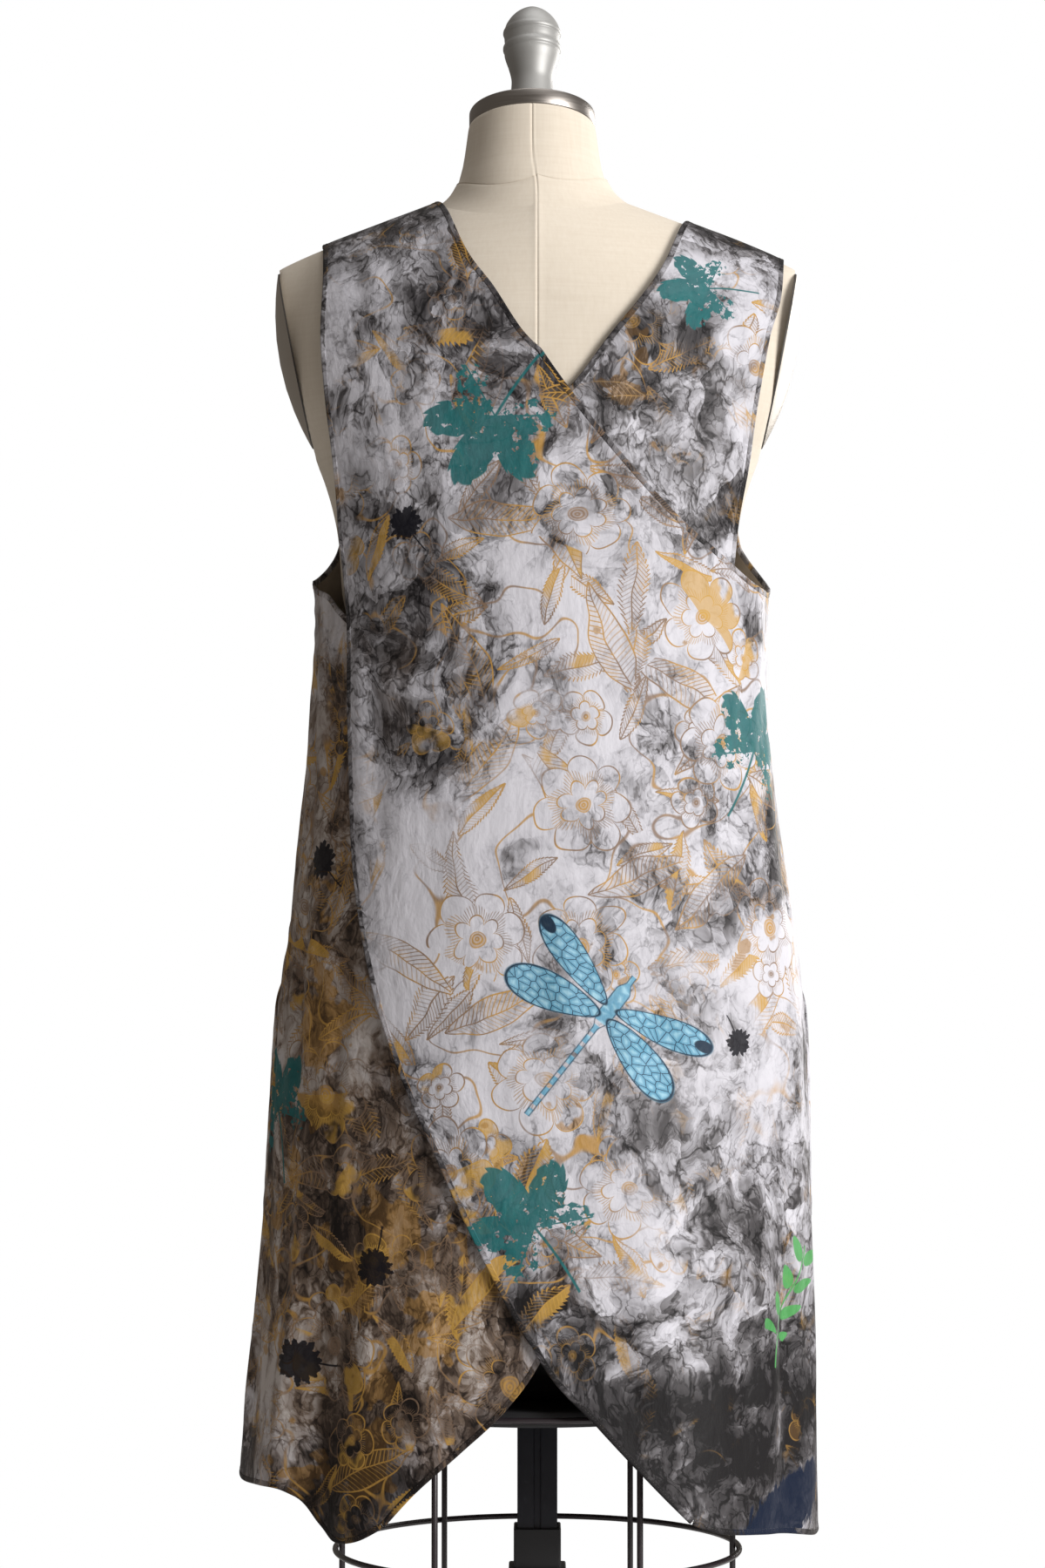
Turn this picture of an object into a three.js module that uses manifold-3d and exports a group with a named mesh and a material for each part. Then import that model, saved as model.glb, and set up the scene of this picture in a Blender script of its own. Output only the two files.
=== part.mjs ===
// Cross-back apron dress on a limbless dress form with a telescoping column.
// Millimetres, +Z up. The origin is on the floor at the column's axis, and the dress's back faces -Y.
import * as THREE from "three";
import { mergeVertices } from "three/addons/utils/BufferGeometryUtils.js";
import Module from "manifold-3d";

const wasm = await Module();
wasm.setup();

// ---- Driving dimensions ----

const clothWall = 1.2;
const seamGap = 0.3;
const bindingWidth = 4;
const bindingWall = 2;
const bindingTrim = 2.5; // how far a binding stops short of the seam that it ends at
const layerLift = 5.6; // how far the outer back panel stands off the one under it
const shoulderRest = 2.2; // cloth above the form's shoulders

// Levels of the dress: half widths to -X and +X, and depths behind and in front of the column's axis.
const dressLevels = table([
  { z: 400, left: 226, right: 210, back: 175, front: 178 },
  { z: 500, left: 219, right: 209, back: 168, front: 172 },
  { z: 600, left: 209, right: 207, back: 158, front: 165 },
  { z: 700, left: 201, right: 204, back: 148, front: 158 },
  { z: 800, left: 194, right: 200, back: 136, front: 151 },
  { z: 900, left: 181, right: 187, back: 125, front: 145 },
  { z: 1010, left: 172, right: 174, back: 114, front: 140 },
  { z: 1115, left: 169, right: 176, back: 112, front: 138 },
  { z: 1162, left: 179, right: 182, back: 112, front: 136 },
  { z: 1210, left: 196, right: 196, back: 111, front: 129 },
  { z: 1250, left: 209, right: 209, back: 108, front: 117 },
  { z: 1290, left: 218, right: 218, back: 101, front: 101 },
  { z: 1340, left: 219, right: 219, back: 93, front: 86 },
  { z: 1450, left: 219, right: 219, back: 88, front: 76 },
]);
const dressWidest = 219;

// The same for the form inside it.
const formLevels = table([
  { z: 600, left: 156, right: 156, back: 102, front: 102 },
  { z: 680, left: 164, right: 164, back: 111, front: 110 },
  { z: 760, left: 168, right: 168, back: 117, front: 115 },
  { z: 830, left: 166, right: 166, back: 117, front: 113 },
  { z: 900, left: 150, right: 150, back: 108, front: 106 },
  { z: 1010, left: 129, right: 129, back: 92, front: 98 },
  { z: 1100, left: 147, right: 147, back: 102, front: 122 },
  { z: 1162, left: 153, right: 153, back: 106, front: 130 },
  { z: 1210, left: 168, right: 168, back: 106, front: 124 },
  { z: 1250, left: 191, right: 191, back: 103, front: 112 },
  { z: 1290, left: 207, right: 207, back: 96, front: 96 },
  { z: 1340, left: 215, right: 215, back: 87, front: 77 },
  { z: 1450, left: 215, right: 215, back: 81, front: 66 },
]);
const formWidest = 215;
const formBottom = 600;
const formRows = 18;
const formColumns = 20; // on each face

// Height of the shoulder line by distance from the middle, and the radius that rounds it over.
const shoulderLine = table([
  { across: 0, z: 1434 },
  { across: 40, z: 1418 },
  { across: 62, z: 1409.5 },
  { across: 86, z: 1400.5 },
  { across: 120, z: 1388 },
  { across: 160, z: 1373 },
  { across: 190, z: 1360 },
  { across: 220, z: 1344 },
]);
const shoulderRound = 110;

// Largest folds: degrees from centre back or front, depth outwards, half spread, and the heights where each
// starts and is at its full depth.
const folds = [
  { face: "back", turn: -47, depth: -13, spread: 6, from: 640, full: 470 },
  { face: "back", turn: -59, depth: 7, spread: 7, from: 640, full: 450 },
  { face: "back", turn: -20, depth: 4, spread: 9, from: 760, full: 480 },
  { face: "back", turn: 34, depth: 5, spread: 10, from: 820, full: 450 },
  { face: "back", turn: 58, depth: -5, spread: 8, from: 760, full: 450 },
  { face: "front", turn: -42, depth: 8, spread: 10, from: 820, full: 470 },
  { face: "front", turn: -18, depth: -8, spread: 9, from: 780, full: 460 },
  { face: "front", turn: 10, depth: 7, spread: 11, from: 900, full: 480 },
  { face: "front", turn: 38, depth: -7, spread: 9, from: 800, full: 450 },
];

// Edge lines as seen square on, each point a distance across and a height. A height of "shoulder" is on the
// shoulder line, and "left" or "right" instead of a distance is at that side seam.
const outerWrapEdge = [
  [-160, "shoulder"], [-154, 1319], [-146, 1215], [-139, 1138], [-133, 1070], [-132, 990], [-128, 900],
  [-118, 831], [-97, 758], [-69, 694], [-36, 622], [3, 552], [43, 504], [80, 463], [106, 434],
];
const outerNeckEdge = [
  [-84, "shoulder"], [-59, 1360], [-33, 1318], [-7, 1279], [24, 1238], [62, 1191], [100, 1151],
  [126, 1130], [146, 1114], [159, 1106], [168, 1104], ["right", 1109],
];
const outerHemEdge = [[106, 434], [126, 426], [160, 421], [188, 416], ["right", 409]];
const underWrapEdge = [
  [184, "shoulder"], [180, 1334], [169, 1293], [160, 1245], [152, 1189], [144, 1138], [139, 1080],
  [138, 1010], [135, 930], [124, 835], [97, 752], [66, 675], [36, 612], [3, 554], [-23, 517],
  [-56, 485], [-87, 456], [-110, 431],
];
const underNeckEdge = [
  [120, "shoulder"], [99, 1349], [56, 1286], [20, 1240], [-32, 1178], [-83, 1116], [-102, 1092],
  [-119, 1078], [-134, 1076], [-148, 1089], [-158, 1102], ["left", 1116],
];
const underHemEdge = [[-110, 431], [-130, 420], [-149, 418], [-164, 427], [-177, 447], [-196, 452], ["left", 452]];
const frontNeckEdge = [
  [-84, "shoulder"], [-76, 1358], [-46, 1322], [16, 1304], [78, 1320], [110, 1352], [120, "shoulder"],
];
const frontLeftArmEdge = [
  [-160, "shoulder"], [-156, 1320], [-150, 1260], [-147, 1200], [-151, 1158], [-160, 1133], ["left", 1116],
];
const frontRightArmEdge = [
  [184, "shoulder"], [177, 1310], [166, 1250], [156, 1200], [154, 1163], [162, 1140], ["right", 1109],
];
const frontHemEdge = [
  ["left", 452], [-170, 459], [-90, 470], [20, 472], [110, 462], [175, 436], ["right", 409],
];

// How the panels are divided. Rows lie closer together at the shoulders and the underarms.
const armRows = 12;
const skirtRows = 12;
const underarm = 0.37; // share of the way down at which a panel's armhole meets its side seam
const crowding = 0.5;
const skirtCrowding = 1.2;
const formCrowding = 1.3;
const backColumns = 13;
const neckColumns = 12; // of the front, along its neckline
const shoulderColumns = 3; // of the front, on each shoulder

// Front pockets: caught in the side seam, with a mouth that slants up to the front. Turns are in degrees from
// centre front.
const pocketMouth = [
  { turn: 90, z: 778 },
  { turn: 82, z: 806 },
  { turn: 67, z: 836 },
  { turn: 50, z: 858 },
];
const pocketBottom = 640;
const pocketBulge = 12;
const pocketCells = 8;

// Neck, cap and finial, which lean forward.
const neckShift = -4;
const neckTilt = THREE.MathUtils.degToRad(9.5);
const neckRings = [
  { z: 1395, wide: 61, deep: 58, lean: 0 },
  { z: 1419, wide: 55.5, deep: 54, lean: 0 },
  { z: 1445, wide: 51, deep: 50, lean: 0.5 },
  { z: 1465, wide: 48.5, deep: 48.5, lean: 1 },
];
const capRadius = 48;
const capBand = 13;
const capDome = 1.5;
const finialProfile = [
  { r: 0, z: 0 }, { r: 19, z: 0 }, { r: 18.6, z: 3.5 }, { r: 15.5, z: 20 }, { r: 14.6, z: 28 }, { r: 15, z: 33.5 },
  { r: 18, z: 40 }, { r: 21.4, z: 46.5 }, { r: 22.4, z: 51 }, { r: 21.2, z: 57.5 }, { r: 22.3, z: 65 },
  { r: 21.2, z: 69 }, { r: 18, z: 76 }, { r: 13.5, z: 81 }, { r: 6, z: 85 }, { r: 0, z: 86 },
];

// Arm plates close the cut ends of the shoulders.
const plateTop = { across: 201, z: 1353 };
const plateFoot = { across: 175, z: 1220 };
const plateHalfDeep = 49;
const plateThick = 5;

// Base block, board and wire cage under the form.
const boardRadius = 144;
const boardBottom = 497;
const boardThick = 12;
const blockTopShare = 0.96; // of the form's bottom outline
const blockFootShare = 0.8;
const wireRadius = 2.25;
const rodCircle = 147;
const rodCount = 6;
const rodTop = 508;
const rodBottom = 288;
const hoops = { cage_hoop_top: 503, cage_hoop_middle: 390, cage_hoop_bottom: 292 };

// Stand: a square column that slides in a sleeve on a round base.
const columnSide = 30;
const columnFoot = 200;
const grooveWide = 5;
const grooveDeep = 1.5;
const sleeveSide = 43;
const sleeveTop = 376;
const sleeveSlot = 31.2;
const collarSide = 35.4;
const collarTop = 406;
const baseRadius = 225;
const baseRim = 8;
const hubRadius = 42;
const hubTop = 24;

// ---- Tables ----

// Smooth values between the rows of a table, read by its first column.
function table(rows) {
  const [key, ...columns] = Object.keys(rows[0]);
  const keys = rows.map((row) => row[key]);
  const values = rows.flatMap((row) => columns.map((name) => row[name]));
  const curve = new THREE.CubicInterpolant(keys, values, columns.length, new Float64Array(columns.length));
  return (at) => {
    const found = curve.evaluate(THREE.MathUtils.clamp(at, keys[0], keys.at(-1)));
    return Object.fromEntries(columns.map((name, i) => [name, found[i]]));
  };
}

function share(value, from, to) {
  const way = THREE.MathUtils.clamp((value - from) / (to - from), 0, 1);
  return way * way * (3 - 2 * way);
}

function evenly(count, power = 1) {
  return Array.from({ length: count + 1 }, (_, i) => (i / count) ** power);
}

// ---- The worn surface ----
// A place on it is a Vector2: x is the turn from centre back or centre front, and y is the run of cloth down
// from the shoulder line.

const dressBody = { levels: dressLevels, widest: dressWidest, raise: shoulderRest, folded: true };
const formBody = { levels: formLevels, widest: formWidest, raise: 0, folded: false };
const quarterRun = (shoulderRound * Math.PI) / 2;
const side = { left: -Math.PI / 2, right: Math.PI / 2 };

function shoulderHeight(body, turn) {
  return shoulderLine(body.widest * Math.abs(Math.sin(turn))).z + body.raise;
}

function runFor(drop) {
  if (drop >= shoulderRound) return quarterRun + drop - shoulderRound;
  return shoulderRound * Math.acos(1 - Math.max(drop, 0) / shoulderRound);
}

function dropFor(run) {
  return run < quarterRun ? shoulderRound * (1 - Math.cos(run / shoulderRound)) : shoulderRound + run - quarterRun;
}

function foldDepth(face, turn, z) {
  const degrees = THREE.MathUtils.radToDeg(turn);
  return folds
    .filter((fold) => fold.face === face)
    .reduce((sum, { turn: middle, depth, spread, from, full }) => {
      return sum + depth * Math.exp(-(((degrees - middle) / spread) ** 2)) * share(z, from, full);
    }, 0);
}

function surface(body, face, turn, run) {
  const z = shoulderHeight(body, turn) - dropFor(run);
  const level = body.levels(z);
  const push = body.folded ? foldDepth(face, turn, z) : 0;
  const half = (turn < 0 ? level.left : level.right) + push;
  const depth = level[face] + push;
  const over = run < quarterRun ? Math.sin(run / shoulderRound) : 1;
  const away = face === "back" ? -1 : 1;
  return new THREE.Vector3(half * Math.sin(turn), away * depth * Math.cos(turn) * over, z);
}

function outward(body, face, turn, run) {
  const step = 1e-3;
  const across = surface(body, face, turn + step, run).sub(surface(body, face, turn - step, run));
  const down = surface(body, face, turn, run + 1).sub(surface(body, face, turn, run - 1));
  const out = across.cross(down).normalize();
  return face === "back" ? out.negate() : out;
}

function onCloth(face, place, lift) {
  const out = outward(dressBody, face, place.x, place.y);
  return surface(dressBody, face, place.x, place.y).addScaledVector(out, lift);
}

function placeAt(turn, z) {
  return new THREE.Vector2(turn, runFor(shoulderHeight(dressBody, turn) - z));
}

function heightOf(place) {
  return shoulderHeight(dressBody, place.x) - dropFor(place.y);
}

function placeOf([across, z]) {
  if (z === "shoulder") return new THREE.Vector2(Math.asin(across / dressWidest), 0);
  if (across in side) return placeAt(side[across], z);
  const level = dressLevels(z);
  return placeAt(Math.asin(across / (across < 0 ? level.left : level.right)), z);
}

// Holds a place just off the side and shoulder seams, so that two panels meet with the seam's gap.
function offSeams(place, face) {
  const level = dressLevels(heightOf(place));
  const limit = side.right - seamGap / 2 / level[face];
  const turn = THREE.MathUtils.clamp(place.x, -limit, limit);
  const leastRun = (shoulderRound * seamGap) / 2 / (level[face] * Math.cos(Math.min(Math.abs(turn), 1.2)));
  return new THREE.Vector2(turn, Math.max(place.y, leastRun));
}

// ---- Edge lines, each a function from its share of the way to a place ----

function smoothEdge(places) {
  const curve = new THREE.SplineCurve(places.map((p) => new THREE.Vector2(p.x * dressWidest, p.y)));
  return (at) => {
    const p = curve.getPointAt(THREE.MathUtils.clamp(at, 0, 1));
    return new THREE.Vector2(p.x / dressWidest, p.y);
  };
}

function straightEdge(from, to) {
  return (at) => from.clone().lerp(to, at);
}

function shoulderSeam(from, to) {
  return straightEdge(placeOf([from, "shoulder"]), placeOf([to, "shoulder"]));
}

function sideSeam(name, top, bottom) {
  return straightEdge(placeOf([name, top]), placeOf([name, bottom]));
}

// Joins lines end to end. Each entry is where its line ends, as a share of the whole, and the line.
function chain(...parts) {
  return (at) => {
    const index = parts.findIndex(([end]) => at <= end + 1e-9);
    const [end, line] = parts[index];
    const start = index > 0 ? parts[index - 1][0] : 0;
    return line((at - start) / (end - start));
  };
}

// ---- Solids ----

function solid(points, faces) {
  const geometry = new THREE.BufferGeometry();
  geometry.setAttribute("position", new THREE.Float32BufferAttribute(points.flatMap((p) => [p.x, p.y, p.z]), 3));
  geometry.setIndex(faces.flat());
  return geometry;
}

// Turns a closed body's faces outwards.
function outwards(geometry) {
  const position = geometry.attributes.position;
  const index = geometry.index.array;
  const corners = [new THREE.Vector3(), new THREE.Vector3(), new THREE.Vector3()];
  let volume = 0;
  for (let i = 0; i < index.length; i += 3) {
    const [a, b, c] = corners.map((corner, k) => corner.fromBufferAttribute(position, index[i + k]));
    volume += a.dot(b.cross(c));
  }
  if (volume < 0) index.reverse();
  geometry.computeVertexNormals();
  return geometry;
}

// A wall between two grids of points of the same size, closed round its rim.
function wall(inner, outer) {
  const rows = inner.length;
  const columns = inner[0].length;
  const at = (layer, r, c) => (layer * rows + r) * columns + c;
  const faces = [];
  const quad = (a, b, c, d) => faces.push([a, b, c], [a, c, d]);
  for (let r = 0; r + 1 < rows; r++) {
    for (let c = 0; c + 1 < columns; c++) {
      quad(at(1, r, c), at(1, r + 1, c), at(1, r + 1, c + 1), at(1, r, c + 1));
      quad(at(0, r, c), at(0, r, c + 1), at(0, r + 1, c + 1), at(0, r + 1, c));
    }
  }
  const [lastRow, lastColumn] = [rows - 1, columns - 1];
  for (let r = 0; r < lastRow; r++) {
    quad(at(0, r, 0), at(0, r + 1, 0), at(1, r + 1, 0), at(1, r, 0));
    quad(at(0, r + 1, lastColumn), at(0, r, lastColumn), at(1, r, lastColumn), at(1, r + 1, lastColumn));
  }
  for (let c = 0; c < lastColumn; c++) {
    quad(at(0, 0, c + 1), at(0, 0, c), at(1, 0, c), at(1, 0, c + 1));
    quad(at(0, lastRow, c), at(0, lastRow, c + 1), at(1, lastRow, c + 1), at(1, lastRow, c));
  }
  return outwards(solid([...inner.flat(), ...outer.flat()], faces));
}

// A body through rings of the same number of points, with a flat fan at each end.
function loft(rings) {
  const count = rings[0].length;
  const faces = [];
  for (let r = 0; r + 1 < rings.length; r++) {
    for (let i = 0; i < count; i++) {
      const j = (i + 1) % count;
      const [a, b, c, d] = [r * count + i, r * count + j, (r + 1) * count + j, (r + 1) * count + i];
      faces.push([a, b, c], [a, c, d]);
    }
  }
  const last = (rings.length - 1) * count;
  for (let i = 1; i + 1 < count; i++) faces.push([0, i + 1, i], [last, last + i, last + i + 1]);
  return outwards(solid(rings.flat(), faces));
}

function toManifold(geometry) {
  const bare = geometry.clone();
  bare.deleteAttribute("normal");
  bare.deleteAttribute("uv");
  const merged = mergeVertices(bare, 1e-3);
  const index = merged.index.array;
  const kept = [];
  for (let i = 0; i < index.length; i += 3) {
    const [a, b, c] = [index[i], index[i + 1], index[i + 2]];
    if (a !== b && b !== c && c !== a) kept.push(a, b, c);
  }
  const vertProperties = new Float32Array(merged.attributes.position.array);
  return new wasm.Manifold(new wasm.Mesh({ numProp: 3, vertProperties, triVerts: new Uint32Array(kept) }));
}

function fromManifold(body) {
  const mesh = body.getMesh();
  const geometry = new THREE.BufferGeometry();
  geometry.setAttribute("position", new THREE.BufferAttribute(mesh.vertProperties, 3));
  geometry.setIndex(new THREE.BufferAttribute(mesh.triVerts, 1));
  geometry.computeVertexNormals();
  return geometry;
}

function oval(z, wide, back, front, sides, lean = 0) {
  return evenly(sides).slice(0, -1).map((at) => {
    const angle = at * 2 * Math.PI;
    const y = Math.sin(angle) * (Math.sin(angle) < 0 ? back : front);
    return new THREE.Vector3(neckShift * Math.sign(lean) + wide * Math.cos(angle), y, z - y * Math.tan(lean));
  });
}

// ---- Cloth ----

// A panel between four edge lines. Its rows follow the shoulder line at the top, and lie level further down.
function panel({ face, left, right, top, bottom, across, down, lift }) {
  const between = (read, s, t) => {
    const mix = (a, b, at) => a.clone().lerp(b, at);
    const plain = mix(mix(read(top(0)), read(top(1)), s), mix(read(bottom(0)), read(bottom(1)), s), t);
    return mix(read(left(t)), read(right(t)), s).add(mix(read(top(s)), read(bottom(s)), t)).sub(plain);
  };
  const asRun = (place) => place;
  const asHeight = (place) => new THREE.Vector2(place.x, heightOf(place));
  const places = down.map((t) =>
    across.map((s) => {
      const hung = between(asRun, s, t);
      const level = between(asHeight, s, t);
      const height = THREE.MathUtils.lerp(heightOf(hung), level.y, share(t, 0, underarm * 0.7));
      return offSeams(placeAt(hung.x, height), face);
    }),
  );
  const layer = (extra) => places.map((row) => row.map((p) => onCloth(face, p, lift(p) + extra)));
  return wall(layer(0), layer(clothWall));
}

// A narrow folded strip just outside a panel's edge line, with a ring at each of the panel's own points on it.
// hand is 1 where the strip lies to the right of the way along the line, seen from outside, and -1 to the left.
function binding({ face, line, hand, shares, lift }) {
  const pointAt = (at) => {
    const place = offSeams(line(at), face);
    return onCloth(face, place, lift(place) + clothWall / 2);
  };
  const points = shares.map(pointAt);
  const outs = shares.map((at) => {
    const place = offSeams(line(at), face);
    return outward(dressBody, face, place.x, place.y);
  });
  const shorten = (end, next) => points[end].lerp(points[next], bindingTrim / points[end].distanceTo(points[next]));
  shorten(0, 1);
  shorten(points.length - 1, points.length - 2);
  const section = [
    { reach: seamGap, level: -1 },
    { reach: seamGap + bindingWidth * 0.8, level: -1 },
    { reach: seamGap + bindingWidth, level: 0 },
    { reach: seamGap + bindingWidth * 0.8, level: 1 },
    { reach: seamGap, level: 1 },
  ];
  const rings = points.map((point, i) => {
    const out = outs[i];
    const before = points[Math.max(i - 1, 0)];
    const after = points[Math.min(i + 1, points.length - 1)];
    const aside = after.clone().sub(before).cross(out).normalize().multiplyScalar(hand);
    return section.map(({ reach, level }) =>
      point.clone().addScaledVector(aside, reach).addScaledVector(out, (level * bindingWall) / 2),
    );
  });
  return loft(rings);
}

const noLift = () => 0;

// The outer panel clears the one under it, and comes down to the seams that it shares with the front.
function outerLift(place) {
  return layerLift * (1 - share(Math.sin(place.x), 0.92, 0.995)) * share(place.y, 0, quarterRun * 0.8);
}

const crowded = (count) => evenly(count).map((at) => at + crowding * ((1 - Math.cos(Math.PI * at)) / 2 - at));
const toUnderarm = crowded(armRows);
const neckShares = crowded(neckColumns);
const shoulderShare = shoulderColumns / (neckColumns + 2 * shoulderColumns);
const frontAcross = [
  ...evenly(shoulderColumns).map((at) => at * shoulderShare),
  ...neckShares.slice(1, -1).map((at) => shoulderShare + at * (1 - 2 * shoulderShare)),
  ...evenly(shoulderColumns).map((at) => 1 - shoulderShare + at * shoulderShare),
];
const down = [
  ...toUnderarm.map((at) => at * underarm),
  ...evenly(skirtRows, skirtCrowding).slice(1).map((at) => underarm + (1 - underarm) * at),
];
const edges = {
  outerWrap: smoothEdge(outerWrapEdge.map(placeOf)),
  outerNeck: smoothEdge(outerNeckEdge.map(placeOf)),
  outerHem: smoothEdge(outerHemEdge.map(placeOf)),
  underWrap: smoothEdge(underWrapEdge.map(placeOf)),
  underNeck: smoothEdge(underNeckEdge.map(placeOf)),
  underHem: smoothEdge(underHemEdge.map(placeOf)),
  frontNeck: smoothEdge(frontNeckEdge.map(placeOf)),
  frontLeftArm: smoothEdge(frontLeftArmEdge.map(placeOf)),
  frontRightArm: smoothEdge(frontRightArmEdge.map(placeOf)),
  frontHem: smoothEdge(frontHemEdge.map(placeOf)),
};
const leftSeam = sideSeam("left", frontLeftArmEdge.at(-1)[1], frontHemEdge[0][1]);
const rightSeam = sideSeam("right", frontRightArmEdge.at(-1)[1], frontHemEdge.at(-1)[1]);
const reversed = (line) => (at) => line(1 - at);
// Re-times a wrap edge so that the row from the underarm meets it lower down, below the armhole's scoop.
const retimed = (line, meets) =>
  chain([underarm, (at) => line(at * meets)], [1, (at) => line(meets + at * (1 - meets))]);
const wrapLines = { outer: retimed(edges.outerWrap, 0.4), under: retimed(edges.underWrap, 0.56) };

function outerBackPanel() {
  return panel({
    face: "back",
    left: wrapLines.outer,
    right: chain([underarm, edges.outerNeck], [1, rightSeam]),
    top: shoulderSeam(outerWrapEdge[0][0], outerNeckEdge[0][0]),
    bottom: edges.outerHem,
    across: evenly(backColumns),
    down,
    lift: outerLift,
  });
}

function underBackPanel() {
  return panel({
    face: "back",
    left: chain([underarm, edges.underNeck], [1, leftSeam]),
    right: wrapLines.under,
    top: shoulderSeam(underNeckEdge[0][0], underWrapEdge[0][0]),
    bottom: reversed(edges.underHem),
    across: evenly(backColumns),
    down,
    lift: noLift,
  });
}

function frontPanel() {
  return panel({
    face: "front",
    left: chain([underarm, edges.frontLeftArm], [1, leftSeam]),
    right: chain([underarm, edges.frontRightArm], [1, rightSeam]),
    top: chain(
      [shoulderShare, shoulderSeam(frontLeftArmEdge[0][0], frontNeckEdge[0][0])],
      [1 - shoulderShare, edges.frontNeck],
      [1, shoulderSeam(frontNeckEdge.at(-1)[0], frontRightArmEdge[0][0])],
    ),
    bottom: edges.frontHem,
    across: frontAcross,
    down,
    lift: noLift,
  });
}

function frontPocket(hand) {
  const placeOn = (degrees, z) => placeAt(hand * THREE.MathUtils.degToRad(degrees), z);
  const [seamCorner, innerCorner] = [pocketMouth[0], pocketMouth.at(-1)];
  const mouth = smoothEdge(pocketMouth.map(({ turn, z }) => placeOn(turn, z)));
  const bottomLine = straightEdge(placeOn(seamCorner.turn, pocketBottom), placeOn(innerCorner.turn, pocketBottom));
  const layer = (extra) =>
    evenly(pocketCells).map((t) =>
      evenly(pocketCells).map((s) => {
        const place = offSeams(mouth(s).lerp(bottomLine(s), t), "front");
        const bulge = pocketBulge * Math.sin(Math.PI * s) ** 0.8 * (1 - t * t);
        return onCloth("front", place, clothWall + seamGap + bulge + extra);
      }),
    );
  return wall(layer(0), layer(clothWall));
}

const backHemShares = evenly(backColumns);
const bindings = {
  outer_neck_binding: { face: "back", line: edges.outerNeck, hand: -1, shares: toUnderarm, lift: outerLift },
  outer_wrap_binding: { face: "back", line: wrapLines.outer, hand: 1, shares: down, lift: outerLift },
  outer_hem: { face: "back", line: edges.outerHem, hand: 1, shares: backHemShares, lift: outerLift },
  under_neck_binding: { face: "back", line: edges.underNeck, hand: 1, shares: toUnderarm, lift: noLift },
  under_wrap_binding: { face: "back", line: wrapLines.under, hand: -1, shares: down, lift: noLift },
  under_hem: { face: "back", line: edges.underHem, hand: -1, shares: backHemShares, lift: noLift },
  front_neck_binding: { face: "front", line: edges.frontNeck, hand: 1, shares: neckShares, lift: noLift },
  front_arm_binding_left: { face: "front", line: edges.frontLeftArm, hand: -1, shares: toUnderarm, lift: noLift },
  front_arm_binding_right: { face: "front", line: edges.frontRightArm, hand: 1, shares: toUnderarm, lift: noLift },
  front_hem: { face: "front", line: edges.frontHem, hand: -1, shares: frontAcross, lift: noLift },
};

// ---- Form ----

const plateLean = Math.atan2(plateTop.across - plateFoot.across, plateTop.z - plateFoot.z);
const plateHalfHigh = Math.hypot(plateTop.across - plateFoot.across, plateTop.z - plateFoot.z) / 2;

// A frame on the outer face of an arm plate, with Z pointing away from the form.
function plateFrame(hand) {
  const out = new THREE.Vector3(hand * Math.cos(plateLean), 0, -Math.sin(plateLean));
  const deep = new THREE.Vector3(0, 1, 0);
  const middle = new THREE.Vector3(
    (hand * (plateTop.across + plateFoot.across)) / 2, 0, (plateTop.z + plateFoot.z) / 2,
  );
  return new THREE.Matrix4().makeBasis(deep.clone().cross(out), deep, out).setPosition(middle);
}

function torso() {
  const turns = evenly(formColumns).map((at) => (at - 0.5) * Math.PI);
  const round = [
    ...turns.slice(0, -1).map((turn) => ({ face: "back", turn })),
    ...turns.slice(1).reverse().map((turn) => ({ face: "front", turn })),
  ];
  const rows = evenly(formRows, formCrowding).map((t) =>
    round.map(({ face, turn }) => {
      const whole = runFor(shoulderHeight(formBody, turn) - formBottom);
      return surface(formBody, face, turn, whole * t);
    }),
  );
  const count = round.length;
  const faces = [];
  for (let r = 0; r < formRows; r++) {
    for (let i = 0; i < count; i++) {
      const j = (i + 1) % count;
      const [a, b, c, d] = [r * count + i, r * count + j, (r + 1) * count + j, (r + 1) * count + i];
      faces.push([a, d, c], [a, c, b]);
    }
  }
  const last = formRows * count;
  for (let i = 1; i + 1 < count; i++) faces.push([last, last + i + 1, last + i]);
  const trunk = toManifold(outwards(solid(rows.flat(), faces)));
  const neck = loft(neckRings.map(({ z, wide, deep, lean }) => {
    return oval(z, wide, deep, deep, 28, lean * neckTilt).map((p) => p.setX(p.x + (lean ? 0 : neckShift)));
  }));
  const cutter = (hand) => {
    const reach = 200;
    const block = new THREE.BoxGeometry(2 * reach, 2 * reach, reach);
    block.translate(0, 0, reach / 2 - plateThick - seamGap);
    return toManifold(block.applyMatrix4(plateFrame(hand)));
  };
  return fromManifold(trunk.subtract(cutter(-1)).subtract(cutter(1)).add(toManifold(neck)));
}

function armPlate() {
  const outline = new THREE.Shape().absellipse(0, 0, plateHalfHigh, plateHalfDeep, 0, 2 * Math.PI);
  const bevel = 1;
  return new THREE.ExtrudeGeometry(outline, {
    depth: plateThick - 2 * bevel, bevelEnabled: true, bevelThickness: bevel, bevelSize: bevel,
    bevelOffset: -bevel, bevelSegments: 1, curveSegments: 14,
  }).translate(0, 0, bevel - plateThick);
}

function lathe(profile, sides) {
  return new THREE.LatheGeometry(profile.map(({ r, z }) => new THREE.Vector2(r, z)), sides).rotateX(Math.PI / 2);
}

function neckCap() {
  const edgeRound = 2;
  return lathe([
    { r: 0, z: 0 }, { r: capRadius, z: 0 }, { r: capRadius, z: capBand - edgeRound },
    { r: capRadius - edgeRound * 0.3, z: capBand - edgeRound * 0.3 }, { r: capRadius - edgeRound, z: capBand },
    { r: capRadius * 0.6, z: capBand + capDome * 0.65 }, { r: finialProfile[1].r + 1, z: capBand + capDome },
    { r: 0, z: capBand + capDome },
  ], 40);
}

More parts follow.
